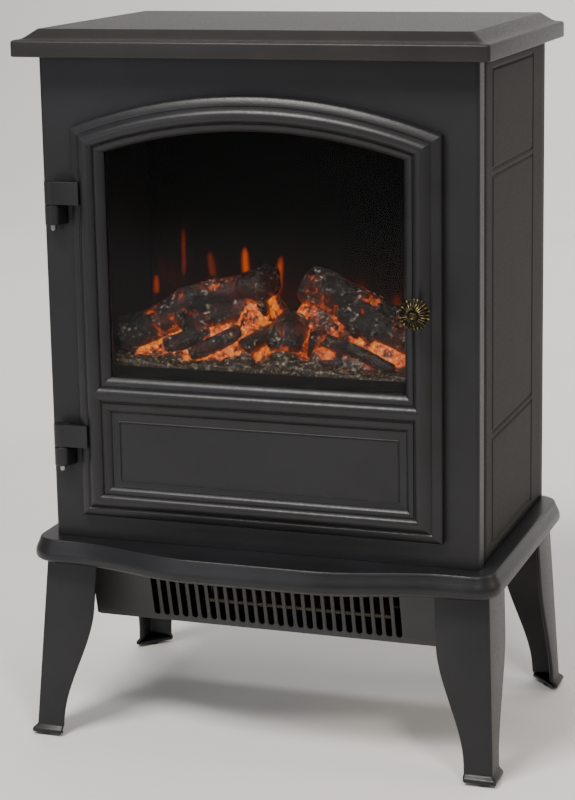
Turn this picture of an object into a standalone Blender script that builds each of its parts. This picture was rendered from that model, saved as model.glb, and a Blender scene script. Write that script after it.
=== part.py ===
"""Electric stove fireplace: an arched glass door on a sheet-steel cabinet that stands on a
moulded base and four splayed legs, with a moulded fuel bed, a turning flame spindle, and a fan
heater hung below the base.

Run with: blender --background --python part.py

Metres, +Z up, -Y is the front. The origin is on the floor, at the centre of the whole object.
"""

import math

import bmesh
import bpy
from mathutils import Vector
from mathutils.geometry import tessellate_polygon

# ---- clearances and stock thicknesses ----
GAP = 0.0003                 # between pieces that seat on each other
RUNNING = 0.00009            # radial clearance of a pin in its bore
SLIP = 0.0006                # around a pane or a panel in its rebate
SHEET = 0.002                # cabinet sheet
COVER_SHEET = 0.0012         # rear cover
LINER_SHEET = 0.001          # firebox and heater sheet
MOULDING = 0.0025            # wall of the moulded parts
EDGE_BREAK = 0.0015          # small bevel on moulded edges
CUT_REACH = 0.03             # how far a cutter goes past what it cuts

# ---- cabinet ----
BODY_WIDTH = 0.3564
BODY_DEPTH = 0.217
BODY_HEIGHT = 0.3910
BODY_HALF = BODY_WIDTH / 2

# ---- base slab ----
BASE_THICKNESS = 0.021
BASE_OVERHANG = 0.0133       # ridge beyond the cabinet, at the sides
BASE_ROLL = 0.0048           # bullnose beyond the ridge
BASE_ROLL_SECTION = ((0.6, 0.0035), (1.0, 0.006), (1.0, 0.0095), (0.6, 0.0145))  # share, height
BASE_LIP = 0.004             # lower lip inside the ridge
BASE_FRONT_REACH = 0.0155    # ridge ahead of the cabinet, at the front corners
BASE_BOW = 0.0207            # further reach of the bowed middle
BASE_BOW_FLAT = 0.050        # half width of the bow's straight middle
BASE_BOW_END = 0.158         # where the bow meets the corner stretch
BASE_REAR_REACH = 0.004      # ridge behind the cabinet
BASE_CORNER = 0.017
BASE_RIDGE_ROUND = 0.001     # rounding of the ridge
WIRE_HOLE_RADIUS = 0.012     # through the base, for the heater's wires
WIRE_HOLE_X = -0.120
WIRE_HOLE_FROM_FRONT = 0.110
BASE_HALF = BODY_HALF + BASE_OVERHANG

# ---- top slab ----
TOP_THICKNESS = 0.021
TOP_SIDE_OVERHANG = 0.0135
TOP_FRONT_OVERHANG = 0.0225
TOP_REAR_OVERHANG = 0.013
TOP_RIM = 0.0130             # height of the upright rim
TOP_SHOULDER = 0.002         # rounding above the rim
TOP_SHELF_RISE = 0.002       # from the rim up to the foot of the slope
TOP_SLOPE = 0.016            # width of the moulded slope
TOP_CORNER = 0.003
TOP_POCKET_INSET = 0.028     # hollow under the slab, inside its edge

# ---- heights and depths of the main planes ----
LEG_HEIGHT = 0.147
PAD_HEIGHT = 0.002
PAD_RADIUS = 0.0055
BASE_LOW = LEG_HEIGHT
BASE_TOP = BASE_LOW + BASE_THICKNESS
BODY_LOW = BASE_TOP + GAP
BODY_TOP = BODY_LOW + BODY_HEIGHT
TOP_LOW = BODY_TOP + GAP
TOP_HIGH = TOP_LOW + TOP_THICKNESS
REACH_AHEAD = BASE_FRONT_REACH + BASE_BOW + BASE_ROLL
BODY_FRONT = (REACH_AHEAD - BODY_DEPTH - TOP_REAR_OVERHANG) / 2
BODY_BACK = BODY_FRONT + BODY_DEPTH

# ---- legs ----
LEG_PLATE = 0.003
LEG_END_PLATE = 0.003
LEG_BEVEL = 0.001
LEG_STEP = 0.0002            # height over which the end plates change to the open L
LEG_TOP_INSET = 0.0002       # leg's outer face inside the base's lower lip
LEG_SIDE_SPLAY = 0.0075
LEG_FRONT_SPLAY = 0.018
LEG_REAR_SPLAY = 0.010
LEG_FRONT_SETBACK = 0.003    # front legs' face ahead of the cabinet, at the top
LEG_REAR_SETBACK = 0.006     # rear legs' face inside the cabinet's back, at the top
FOOT_FLARE = 0.003
FOOT_FLARE_HEIGHT = 0.008
FOOT_WIDTH = 0.0235
LEG_FACE_WIDTH = 0.044       # front and rear plates, at the top
LEG_FRONT_SIDE_WIDTH = 0.051
LEG_REAR_SIDE_WIDTH = 0.044
LEG_WAIST_LOW = 0.015        # where the plates' curved edges start to widen
LEG_WAIST_HIGH = 0.108

# ---- door ----
DOOR_REVEAL = 0.0272         # cabinet beside the door
DOOR_LOW_REVEAL = 0.0202
DOOR_CROWN_REVEAL = 0.0283
DOOR_RISE = 0.027
DOOR_STILE = 0.029
DOOR_TOP_BAND = 0.0275
DOOR_PROUD = 0.0135
DOOR_STEP_PROUD = 0.0097     # outer step of the door's moulding
DOOR_STEP_WIDTH = 0.009
DOOR_GAP = 0.001             # behind the closed door
DOOR_INNER_STEP = 0.0025
PANEL_INSET = 0.0355         # lower panel inside the door's edge
PANEL_LOW_INSET = 0.032
PANEL_HEIGHT = 0.047
PANEL_FLOOR_PROUD = 0.0055
GLASS_SILL = 0.1166          # bottom of the glass opening above the door's bottom
GLASS_THICKNESS = 0.003
GLASS_LAP = 0.0065           # rebate around the opening
RETAINER_THICKNESS = 0.0015
GLASS_FRONT_PROUD = 0.0052
DOOR_HALF = BODY_HALF - DOOR_REVEAL
DOOR_LOW = BODY_LOW + DOOR_LOW_REVEAL
DOOR_CROWN = BODY_TOP - DOOR_CROWN_REVEAL
DOOR_RADIUS = (DOOR_HALF**2 + DOOR_RISE**2) / (2 * DOOR_RISE)
DOOR_ARC_CENTRE = DOOR_CROWN - DOOR_RADIUS
OPENING_HALF = DOOR_HALF - DOOR_STILE
OPENING_RADIUS = DOOR_RADIUS - DOOR_TOP_BAND
OPENING_LOW = DOOR_LOW + GLASS_SILL
WINDOW_LAP = 0.009           # cabinet's window outside the glass opening
WINDOW_SILL_LAP = 0.0066     # the same, below the opening
ARCH_STEPS = 20

# ---- knob and catch ----
KNOB_RADIUS = 0.0122
KNOB_REACH = 0.0252
KNOB_INSET = 0.015           # knob's centre inside the door's edge
KNOB_HEIGHT = 0.1845         # above the door's bottom
SCREW_RADIUS = 0.002
SCREW_HEAD_RADIUS = 0.0038
SCREW_CLEARANCE = 0.0003
SCREW_SEAT_DEPTH = 0.0026    # pocket for the knob screw's head
CATCH_ABOVE_KNOB = 0.045
CATCH_WIDTH = 0.012
CATCH_LENGTH = 0.030
CATCH_INSET = 0.0105
STRIKE_THICKNESS = 0.0012

# ---- hinges ----
HINGE_OFFSET = 0.0155        # pin's axis outside the door's edge
HINGE_PROUD = 0.008          # pin's axis ahead of the cabinet
HINGE_EYE_RADIUS = 0.0065
HINGE_PIN_RADIUS = 0.0023
STRAP_HEIGHT = 0.0185
LUG_HEIGHT = 0.016
STRAP_PLATE = 0.003
PIN_TIP = 0.005
UPPER_STRAP_DROP = 0.061     # below the spring of the door's arch
LOWER_STRAP_RISE = 0.0575    # above the door's bottom
HINGE_X = -(DOOR_HALF + HINGE_OFFSET)
HINGE_Y = BODY_FRONT - HINGE_PROUD

# ---- firebox ----
LINER_LAP = 0.0005           # liner's inside beyond the cabinet's window
LINER_FRONT = BODY_FRONT + SHEET + GAP
LINER_REAR_SPACE = 0.067
LINER_BACK = BODY_BACK - LINER_REAR_SPACE
LINER_DROP = 0.0091          # liner's floor below the glass opening
LINER_LOW = OPENING_LOW - LINER_DROP
LINER_HEADROOM = 0.005
FLOOR = LINER_LOW + LINER_SHEET + GAP
SCREEN_THICKNESS = 0.003
SCREEN_FROM_BACK = 0.046
SCREEN_TOP_GAP = 0.0182      # between the screen and the liner's ceiling
BAFFLE_FROM_BACK = 0.038
BAFFLE_HEIGHT = 0.142
SPINDLE_FROM_BACK = 0.022
SPINDLE_HEIGHT = 0.054
SPINDLE_RADIUS = 0.002
FLAG_RADIUS = 0.012
FLAG_COUNT = 10
FLAG_THICKNESS = 0.0008
FLAG_GAP = 0.002             # between neighbouring flags
FLAG_TURN = 2.4              # radians from one flag to the next
SPINDLE_BUSH_LENGTH = 0.008
SPINDLE_BUSH_HALF = 0.007
SPINDLE_SEAT = 0.006         # spindle inside its bush and its motor
FLAME_MOTOR_RADIUS = 0.014
FLAME_MOTOR_LENGTH = 0.016
SPINDLE_END_SPACE = 0.010
LOG_SIDE_GAP = 0.003
LOG_FRONT_SPACE = 0.005
LOG_REAR_SPACE = 0.004
BED_HEIGHT = 0.017
BED_RISE = 0.010             # the bed's rise from front to back

# ---- heater ----
HEATER_INSET = 0.018         # heater box inside the cabinet's sides
HEATER_HEIGHT = 0.056
HEATER_TOP_SETBACK = 0.020
HEATER_LOW_SETBACK = 0.0335
HEATER_DEPTH = 0.130
SLOT_PITCH = 0.00836
SLOT_WIDTH = 0.0052
SLOT_LOW = 0.005             # above the heater box's bottom
SLOT_TOP = 0.0425
SLOT_SIDE_MARGIN = 0.051
GRILLE_THICKNESS = 0.0015
BLOWER_FROM_BACK = 0.055
BLOWER_RADIUS = 0.020
BLOWER_HEIGHT = 0.0275       # blower's axis above the heater box's bottom
BLOWER_BLADES = 18
BLOWER_STUB_RADIUS = 0.0025
BLOWER_MOTOR_RADIUS = 0.017
BLOWER_MOTOR_LENGTH = 0.036
BLOWER_LEFT = -0.062
BLOWER_RIGHT = 0.092
ELEMENT_DEPTH = 0.012
ELEMENT_AHEAD = 0.050        # element's front ahead of the blower's axis
HEATER_HALF = BODY_HALF - HEATER_INSET
HEATER_TOP = BASE_LOW - GAP
HEATER_LOW = HEATER_TOP - HEATER_HEIGHT
HEATER_BACK = BODY_FRONT + HEATER_TOP_SETBACK + HEATER_DEPTH
HEATER_FLOOR = HEATER_LOW + LINER_SHEET + GAP

# ---- controls ----
CONTROL_HALF = 0.073
CONTROL_HEIGHT = 0.060
CONTROL_LOW_REVEAL = 0.0265  # above the door's bottom
CONTROL_DEPTH = 0.0135
CONTROL_FLANGE = 0.005
CONTROL_LOW = DOOR_LOW + CONTROL_LOW_REVEAL
CONTROL_MIDDLE = CONTROL_LOW + CONTROL_HEIGHT / 2
CONTROL_FACE = BODY_FRONT + CONTROL_DEPTH
ROCKER_PITCH = 0.028
ROCKER_FIRST = -0.048
ROCKER_TILT = math.radians(8)
SWITCH_HALF_WIDTH = 0.0065
SWITCH_HALF_HEIGHT = 0.0095
SWITCH_BEZEL = 0.0015
SWITCH_DEPTH = 0.020
SWITCH_POCKET = 0.009
DIAL_X = 0.046
DIAL_RADIUS = 0.013
DIAL_SHAFT_RADIUS = 0.003

# ---- rear ----
GLAND_INSET = 0.038          # gland inside the cabinet's side
GLAND_HEIGHT = 0.026
GLAND_RADIUS = 0.006
GLAND_REACH = 0.010
GLAND_INNER_REACH = 0.012
GLAND_FLANGE = 0.002
VENT_LENGTH = 0.110
VENT_WIDTH = 0.005
VENT_PITCH = 0.011
VENT_ROWS = 5
VENT_LOW_INSET = 0.030       # lowest slot above the cabinet's bottom
VENT_TOP_INSET = 0.075       # lowest slot of the upper vents below the top
VENT_HALF_GAP = 0.008        # between the left and the right slots, halved
VENT_SHIFT = 0.015
REAR_FLANGE = 0.014
REAR_SCREW_INSET = 0.0075    # screw's axis inside the panel's inner face
REAR_SCREW_RADIUS = 0.0017
REAR_SCREW_HEAD = 0.0035
REAR_SCREW_HEAD_HEIGHT = 0.0025
REAR_SCREW_LENGTH = 0.010
REAR_SCREW_FROM_END = 0.025

# ---- side panel grooves ----
GROOVE_WIDTH = 0.003
GROOVE_DEPTH = 0.001
GROOVE_SIDE = 0.042          # grooves in from the cabinet's front and back
GROOVE_TOP = 0.010
GROOVE_LOW = 0.009
GROOVE_BAND = 0.0055         # between the outlines of two panels
UPPER_PANEL_HEIGHT = 0.0755
LOWER_PANEL_HEIGHT = 0.085


# ---- tools ----
def clear_scene():
    for thing in list(bpy.data.objects):
        bpy.data.objects.remove(thing, do_unlink=True)


def finish(name, hex_colour, roughness, metallic=0.0):
    """A plain material; the hex colour is sRGB."""
    material = bpy.data.materials.new(name)
    material.use_nodes = True
    channels = [int(hex_colour[i : i + 2], 16) / 255 for i in (0, 2, 4)]
    linear = [(c / 12.92 if c <= 0.04045 else ((c + 0.055) / 1.055) ** 2.4) for c in channels]
    shader = material.node_tree.nodes["Principled BSDF"]
    shader.inputs["Base Color"].default_value = (*linear, 1.0)
    shader.inputs["Roughness"].default_value = roughness
    shader.inputs["Metallic"].default_value = metallic
    return material


def build(name, points, faces, material, pivot=(0.0, 0.0, 0.0)):
    """An object whose origin is at the pivot, with its faces turned outwards."""
    mesh = bpy.data.meshes.new(name)
    mesh.from_pydata([Vector(p) - Vector(pivot) for p in points], [], faces)
    work = bmesh.new()
    work.from_mesh(mesh)
    bmesh.ops.recalc_face_normals(work, faces=work.faces)
    work.to_mesh(mesh)
    work.free()
    mesh.shade_smooth()
    mesh.set_sharp_from_angle(angle=math.radians(35))
    thing = bpy.data.objects.new(name, mesh)
    thing.location = pivot
    bpy.context.scene.collection.objects.link(thing)
    if material:
        mesh.materials.append(material)
    else:
        thing.hide_render = True
        thing.display_type = "WIRE"
    return thing


def wall_faces(rings, sides, closed):
    """The quads between consecutive rings of equal length."""
    faces = []
    for ring in range(rings if closed else rings - 1):
        here = ring * sides
        there = (ring + 1) % rings * sides
        for i in range(sides):
            j = (i + 1) % sides
            faces.append((here + i, here + j, there + j, there + i))
    return faces


def loft(name, rings, material, pivot=(0.0, 0.0, 0.0), closed=False):
    """A solid through rings of points, with flat ends, or a closed hoop of rings."""
    sides = len(rings[0])
    faces = wall_faces(len(rings), sides, closed)
    if not closed:
        last = (len(rings) - 1) * sides
        faces.append(tuple(range(sides)))
        faces.append(tuple(range(last, last + sides)))
    return build(name, [p for ring in rings for p in ring], faces, material, pivot)


def placed(a, b, along, axis):
    """A point of an outline: a and b in the plane, and its place along the axis."""
    return {"X": (along, a, b), "Y": (a, along, b), "Z": (a, b, along)}[axis]


def plate(name, outline, holes, axis, low, high, material, pivot=(0.0, 0.0, 0.0)):
    """A flat plate with holes, its outline in the plane across the axis."""
    loops = [outline, *holes]
    if holes:
        flat = [[Vector((a, b, 0.0)) for a, b in loop] for loop in loops]
        caps = [tuple(face) for face in tessellate_polygon(flat)]
    else:
        caps = [tuple(range(len(outline)))]
    count = sum(len(loop) for loop in loops)
    points = [placed(a, b, low, axis) for loop in loops for a, b in loop]
    points += [placed(a, b, high, axis) for loop in loops for a, b in loop]
    faces = caps + [tuple(i + count for i in face) for face in caps]
    start = 0
    for loop in loops:
        for i in range(len(loop)):
            a, b = start + i, start + (i + 1) % len(loop)
            faces.append((a, b, b + count, a + count))
        start += len(loop)
    return build(name, points, faces, material, pivot)


def stepped_plate(name, outer, holes, recesses, material):
    """An upright plate whose edges step from level to level.

    Each border is a list of (outline, y): the outer one from back to front, a hole from front to
    back, and a recess from front to its floor.
    """
    points = []
    faces = []

    def chain(border):
        """Adds a border's walls; its first and last rings as point numbers."""
        sides = len(border[0][0])
        start = len(points)
        for outline, y in border:
            points.extend((a, y, b) for a, b in outline)
        walls = wall_faces(len(border), sides, False)
        faces.extend(tuple(i + start for i in face) for face in walls)
        last = len(points) - sides
        return list(range(start, start + sides)), list(range(last, last + sides))

    def fill(loops):
        flat = [[Vector((points[i][0], points[i][2], 0.0)) for i in loop] for loop in loops]
        numbers = [i for loop in loops for i in loop]
        faces.extend(tuple(numbers[i] for i in face) for face in tessellate_polygon(flat))

    back, front = chain(outer)
    hole_ends = [chain(border) for border in holes]
    recess_ends = [chain(border) for border in recesses]
    fill([front] + [first for first, _ in hole_ends + recess_ends])
    fill([back] + [last for _, last in hole_ends])
    faces.extend(tuple(last) for _, last in recess_ends)
    return build(name, points, faces, material)


def box(name, low, high, material, pivot=(0.0, 0.0, 0.0)):
    outline = rectangle(low[0], high[0], low[1], high[1])
    return plate(name, outline, [], "Z", low[2], high[2], material, pivot)


def turned(name, profile, centre, axis, material, sides=24, pivot=None, closed=False):
    """A round solid: the profile is (radius, distance along the axis from the centre)."""
    rings = []
    base = dict(zip("XYZ", centre))
    across = {"X": "YZ", "Y": "XZ", "Z": "XY"}[axis]
    for radius, along in profile:
        ring = []
        for i in range(sides):
            turn = 2 * math.pi * i / sides
            a = base[across[0]] + radius * math.cos(turn)
            b = base[across[1]] + radius * math.sin(turn)
            ring.append(placed(a, b, base[axis] + along, axis))
        rings.append(ring)
    return loft(name, rings, material, pivot or (0.0, 0.0, 0.0), closed)


def combine(target, other, operation):
    modifier = target.modifiers.new(other.name, "BOOLEAN")
    modifier.operation = operation
    modifier.solver = "EXACT"
    modifier.object = other
    other.hide_render = True
    other.display_type = "WIRE"


def cut(target, *cutters):
    for cutter in cutters:
        combine(target, cutter, "DIFFERENCE")


def join(target, *others):
    for other in others:
        combine(target, other, "UNION")


# ---- outlines ----
def smooth(value):
    """The soft step from 0 to 1."""
    t = min(max(value, 0.0), 1.0)
    return t * t * (3 - 2 * t)


def rectangle(low_a, high_a, low_b, high_b):
    return [(low_a, low_b), (high_a, low_b), (high_a, high_b), (low_a, high_b)]


def arc(centre, radius, start, end, steps):
    """Points of an arc, its angles in degrees."""
    turns = [math.radians(start + (end - start) * i / steps) for i in range(steps + 1)]
    return [(centre[0] + radius * math.cos(t), centre[1] + radius * math.sin(t)) for t in turns]


def rounded_rectangle(low_a, high_a, low_b, high_b, radius, steps=4):
    corners = [
        (high_a - radius, low_b + radius, -90),
        (high_a - radius, high_b - radius, 0),
        (low_a + radius, high_b - radius, 90),
        (low_a + radius, low_b + radius, 180),
    ]
    return [p for a, b, turn in corners for p in arc((a, b), radius, turn, turn + 90, steps)]


def arch(half, low, radius):
    """An upright outline with a crowned top, on the door's arc centre."""
    spring = math.degrees(math.asin(half / radius))
    crown = arc((0.0, DOOR_ARC_CENTRE), radius, 90 - spring, 90 + spring, ARCH_STEPS)
    return [(-half, low), (half, low), *crown]


def door_arch(inset):
    return arch(DOOR_HALF - inset, DOOR_LOW + inset, DOOR_RADIUS - inset)


def opening_arch(grow):
    return arch(OPENING_HALF + grow, OPENING_LOW - grow, OPENING_RADIUS + grow)


def stadium(centre_a, low_b, high_b, width, steps=4):
    """An upright slot with round ends."""
    radius = width / 2
    top = arc((centre_a, high_b - radius), radius, 0, 180, steps)
    return top + arc((centre_a, low_b + radius), radius, 180, 360, steps)


def base_outline(offset):
    """The base slab seen from above: straight sides and back, and a bowed front."""
    half = BASE_HALF + offset
    corner = BASE_CORNER + offset
    rear = BODY_BACK + BASE_REAR_REACH + offset
    side_front = BODY_FRONT - BASE_FRONT_REACH - offset
    span = half - corner
    points = []
    steps = 24
    for i in range(steps):
        x = -span + 2 * span * i / steps
        run = (abs(x) - BASE_BOW_FLAT) / (BASE_BOW_END - BASE_BOW_FLAT)
        points.append((x, side_front - BASE_BOW * (1 - smooth(run))))
    points += arc((span, side_front + corner), corner, -90, 0, 5)
    points += arc((span, rear - corner), corner, 0, 90, 5)
    points += arc((-span, rear - corner), corner, 90, 180, 5)
    points += arc((-span, side_front + corner), corner, 180, 270, 5)[:-1]
    return points


# ---- cabinet ----
def make_top_plate():
    """A moulded slab, hollow underneath, with an upright rim and a slope up to its flat."""
    profile = [
        (TOP_POCKET_INSET, TOP_HIGH - MOULDING),
        (TOP_POCKET_INSET, TOP_LOW),
        (EDGE_BREAK, TOP_LOW),
        (0.0, TOP_LOW + EDGE_BREAK),
        (0.0, TOP_LOW + TOP_RIM - TOP_SHOULDER),
        (TOP_SHOULDER * 0.4, TOP_LOW + TOP_RIM),
        (TOP_SHOULDER * 1.5, TOP_LOW + TOP_RIM + TOP_SHELF_RISE * 0.3),
        (TOP_SLOPE * 0.55, TOP_LOW + TOP_RIM + TOP_SHELF_RISE),
        (TOP_SLOPE * 0.88, TOP_HIGH - EDGE_BREAK),
        (TOP_SLOPE, TOP_HIGH),
    ]
    half = BODY_HALF + TOP_SIDE_OVERHANG
    front = BODY_FRONT - TOP_FRONT_OVERHANG
    back = BODY_BACK + TOP_REAR_OVERHANG
    rings = []
    for inset, z in profile:
        outline = rounded_rectangle(
            inset - half, half - inset, front + inset, back - inset, TOP_CORNER
        )
        rings.append([(x, y, z) for x, y in outline])
    loft("top_plate", rings, finish("charcoal_top", "3a3938", 0.42))


def make_base():
    """The base slab, a moulded shell open below, and the sheet pan that closes it."""
    roof = MOULDING
    wall = MOULDING + BASE_LIP
    profile = [
        (-wall, BASE_TOP - roof),
        (-wall, BASE_LOW),
        (-BASE_LIP, BASE_LOW),
        (-BASE_LIP, BASE_LOW + BASE_RIDGE_ROUND),
        *((BASE_ROLL * share, BASE_LOW + height) for share, height in BASE_ROLL_SECTION),
        (BASE_RIDGE_ROUND, BASE_TOP - EDGE_BREAK),
        (-BASE_RIDGE_ROUND, BASE_TOP - BASE_RIDGE_ROUND * 0.4),
        (-BASE_RIDGE_ROUND * 3, BASE_TOP),
    ]
    rings = [[(x, y, z) for x, y in base_outline(offset)] for offset, z in profile]
    base = loft("base_plate", rings, finish("charcoal_base", "343434", 0.45))
    pan = plate("base_pan", base_outline(-wall - SLIP), [], "Z", BASE_LOW, BASE_LOW + SHEET,
                finish("black_pan", "1c1c1d", 0.6))
    for target in (base, pan):
        wires = turned("cut_wires_" + target.name,
                       [(WIRE_HOLE_RADIUS, -CUT_REACH), (WIRE_HOLE_RADIUS, CUT_REACH)],
                       (WIRE_HOLE_X, BODY_FRONT + WIRE_HOLE_FROM_FRONT, BASE_LOW), "Z", None, 16)
        cut(target, wires)


def make_fascia():
    window = arch(OPENING_HALF + WINDOW_LAP, OPENING_LOW - WINDOW_SILL_LAP,
                  OPENING_RADIUS + WINDOW_LAP)
    controls = rectangle(-CONTROL_HALF, CONTROL_HALF, CONTROL_LOW, CONTROL_LOW + CONTROL_HEIGHT)
    catch_x, catch_z = catch_place()
    catch = rectangle(catch_x - CATCH_WIDTH / 2 - GAP, catch_x + CATCH_WIDTH / 2 + GAP,
                      catch_z - CATCH_LENGTH / 2 - GAP, catch_z + CATCH_LENGTH / 2 + GAP)
    outline = rectangle(-BODY_HALF, BODY_HALF, BODY_LOW, BODY_TOP)
    plate("fascia", outline, [window, controls, catch], "Y", BODY_FRONT, BODY_FRONT + SHEET,
          finish("charcoal_fascia", "303134", 0.42))


def rear_screw_places():
    x = BODY_HALF - SHEET - REAR_SCREW_INSET
    heights = (BODY_LOW + REAR_SCREW_FROM_END, BODY_TOP - REAR_SCREW_FROM_END)
    return [(side * x, z) for side in (-1, 1) for z in heights]


def groove(name, side, low_z, high_z):
    """A cutter for the V groove that outlines one panel of a cabinet side."""
    middle = (BODY_FRONT + BODY_BACK) / 2
    reach = BODY_DEPTH / 2 - GROOVE_SIDE
    rings = []
    for grow, x in ((GROOVE_WIDTH / 2, GROOVE_DEPTH / 2), (0.0, -GROOVE_DEPTH),
                    (-GROOVE_WIDTH / 2, GROOVE_DEPTH / 2)):
        outline = rectangle(middle - reach - grow, middle + reach + grow,
                            low_z - grow, high_z + grow)
        rings.append([(side * (BODY_HALF + x), y, z) for y, z in outline])
    return loft(name, rings, None, closed=True)


def make_side_panels():
    """Folded sheet sides, with a flange at each upright edge and three grooved panels."""
    front = BODY_FRONT + SHEET + GAP
    flange_back = BODY_BACK - COVER_SHEET - GAP
    outer, inner = BODY_HALF, BODY_HALF - SHEET
    flange = inner - REAR_FLANGE
    section = [
        (outer, front), (outer, BODY_BACK), (inner, BODY_BACK), (inner, flange_back),
        (flange, flange_back), (flange, flange_back - SHEET), (inner, flange_back - SHEET),
        (inner, front + SHEET), (flange, front + SHEET), (flange, front),
    ]
    top = BODY_TOP - GROOVE_TOP
    low = BODY_LOW + GROOVE_LOW
    upper_low = top - UPPER_PANEL_HEIGHT
    lower_top = low + LOWER_PANEL_HEIGHT
    spans = ((upper_low, top), (lower_top + GROOVE_BAND, upper_low - GROOVE_BAND),
             (low, lower_top))
    for side, label in ((1, "right"), (-1, "left")):
        outline = [(side * x, y) for x, y in section]
        panel = plate("side_panel_" + label, outline, [], "Z", BODY_LOW, BODY_TOP,
                      finish("charcoal_side_" + label, "3f3e3a", 0.45))
        for number, (low_z, high_z) in enumerate(spans):
            cut(panel, groove(f"cut_groove_{label}_{number}", side, low_z, high_z))
        for number, (x, z) in enumerate(rear_screw_places()):
            if x * side > 0:
                cut(panel, turned(f"cut_screw_{label}_{number}",
                                  [(REAR_SCREW_RADIUS + SCREW_CLEARANCE, -CUT_REACH),
                                   (REAR_SCREW_RADIUS + SCREW_CLEARANCE, CUT_REACH)],
                                  (x, BODY_BACK, z), "Y", None, 12))


def make_rear_cover():
    """The back sheet, with vents above and below, and its four screws."""
    half = BODY_HALF - SHEET - GAP
    holes = []
    for first in (BODY_LOW + VENT_LOW_INSET, BODY_TOP - VENT_TOP_INSET):
        for row in range(VENT_ROWS):
            z = first + row * VENT_PITCH
            for side in (-1, 1):
                slot = stadium(z, -VENT_LENGTH / 2, VENT_LENGTH / 2, VENT_WIDTH, 4)
                shift = side * (VENT_LENGTH / 2 + VENT_HALF_GAP) - VENT_SHIFT
                holes.append([(b + shift, a) for a, b in slot])
    gland_x, gland_z = gland_place()
    holes.append(arc((gland_x, gland_z), GLAND_RADIUS + GAP, 0, 345, 23))
    clearance = REAR_SCREW_RADIUS + SCREW_CLEARANCE
    holes += [arc(place, clearance, 0, 330, 11) for place in rear_screw_places()]
    outline = rectangle(-half, half, BODY_LOW, BODY_TOP)
    plate("rear_cover", outline, holes, "Y", BODY_BACK - COVER_SHEET, BODY_BACK,
          finish("charcoal_rear", "2b2b2c", 0.5))
    plated = finish("plated_screw", "8c8d8f", 0.35, 1.0)
    head, shank = REAR_SCREW_HEAD, REAR_SCREW_RADIUS
    top = REAR_SCREW_HEAD_HEIGHT
    profile = [(shank, -REAR_SCREW_LENGTH), (shank, GAP), (head, GAP), (head, top * 0.6),
               (head * 0.6, top)]
    for number, (x, z) in enumerate(rear_screw_places()):
        turned(f"rear_screw_{number + 1}", profile, (x, BODY_BACK, z), "Y", plated, 12)


def gland_place():
    return BODY_HALF - GLAND_INSET, BODY_LOW + GLAND_HEIGHT


def make_cable_gland():
    x, z = gland_place()
    bore = GLAND_RADIUS * 0.55
    inner = COVER_SHEET + GAP
    flange = GLAND_RADIUS + GLAND_FLANGE
    profile = [
        (bore, -GLAND_INNER_REACH), (flange, -GLAND_INNER_REACH), (flange, -inner),
        (GLAND_RADIUS, -inner), (GLAND_RADIUS, GAP), (flange, GAP),
        (flange, GLAND_FLANGE + EDGE_BREAK), (GLAND_RADIUS, GLAND_REACH), (bore, GLAND_REACH),
    ]
    turned("cable_gland", profile, (x, BODY_BACK, z), "Y", finish("gland", "151516", 0.5), 24,
           closed=True)


# ---- legs ----
def leg_rings(front):
    """L-shaped sections of the right-hand leg from its foot to its top, as (x, y) outlines.

    The plates keep their foot width up to the waist, then widen on a soft step. At both ends
    the inner corner moves out to the line between the plates' edges, which closes the L.
    """
    direction = 1 if front else -1
    top_face = BODY_FRONT - LEG_FRONT_SETBACK if front else BODY_BACK - LEG_REAR_SETBACK
    splay = LEG_FRONT_SPLAY if front else LEG_REAR_SPLAY
    side_top = LEG_FRONT_SIDE_WIDTH if front else LEG_REAR_SIDE_WIDTH
    top = LEG_HEIGHT - GAP
    low = PAD_HEIGHT + GAP
    steps = 12
    heights = [(low, True), (low + LEG_END_PLATE, True), (low + LEG_END_PLATE + LEG_STEP, False)]
    first = low + FOOT_FLARE_HEIGHT
    last = top - LEG_END_PLATE - LEG_STEP
    heights += [(first + (last - first) * i / steps, False) for i in range(steps + 1)]
    heights += [(top - LEG_END_PLATE, True), (top, True)]
    rings = []
    for z, filled in heights:
        fall = (top - z) / top
        rise = smooth((z - LEG_WAIST_LOW) / (LEG_WAIST_HIGH - LEG_WAIST_LOW))
        flare = FOOT_FLARE * (1 - smooth((z - low - LEG_END_PLATE) / FOOT_FLARE_HEIGHT))
        x = BASE_HALF - BASE_LIP - LEG_TOP_INSET + LEG_SIDE_SPLAY * fall + flare
        y = top_face - direction * (splay * fall + flare)
        face = FOOT_WIDTH + flare + (LEG_FACE_WIDTH - FOOT_WIDTH) * rise
        side = FOOT_WIDTH + flare + (side_top - FOOT_WIDTH) * rise
        t = LEG_PLATE
        corner = (x - t, y + direction * t)
        if filled:
            corner = (x - face / 2 - t / 2, y + direction * (side / 2 + t / 2))
        outline = [
            (x - face, y + direction * t), (x - face, y), (x - LEG_BEVEL, y),
            (x, y + direction * LEG_BEVEL), (x, y + direction * side),
            (x - t, y + direction * side), corner,
        ]
        rings.append([(px, py, z) for px, py in outline])
    return rings


def make_legs():
    for front, place in ((True, "front"), (False, "rear")):
        rings = leg_rings(front)
        foot = rings[0]
        pad_x = sum(p[0] for p in foot) / len(foot)
        pad_y = sum(p[1] for p in foot) / len(foot)
        for side, label in ((1, "right"), (-1, "left")):
            mirrored = [[(side * x, y, z) for x, y, z in ring] for ring in rings]
            loft(f"leg_{place}_{label}", mirrored, finish(f"charcoal_leg_{place}_{label}",
                                                          "36373b", 0.45))
            turned(f"foot_pad_{place}_{label}", [(PAD_RADIUS, 0.0), (PAD_RADIUS, PAD_HEIGHT)],
                   (side * pad_x, pad_y, 0.0), "Z",
                   finish(f"rubber_pad_{place}_{label}", "161616", 0.85), 16)


# ---- door ----
def door_y(proud):
    return BODY_FRONT - proud


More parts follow.
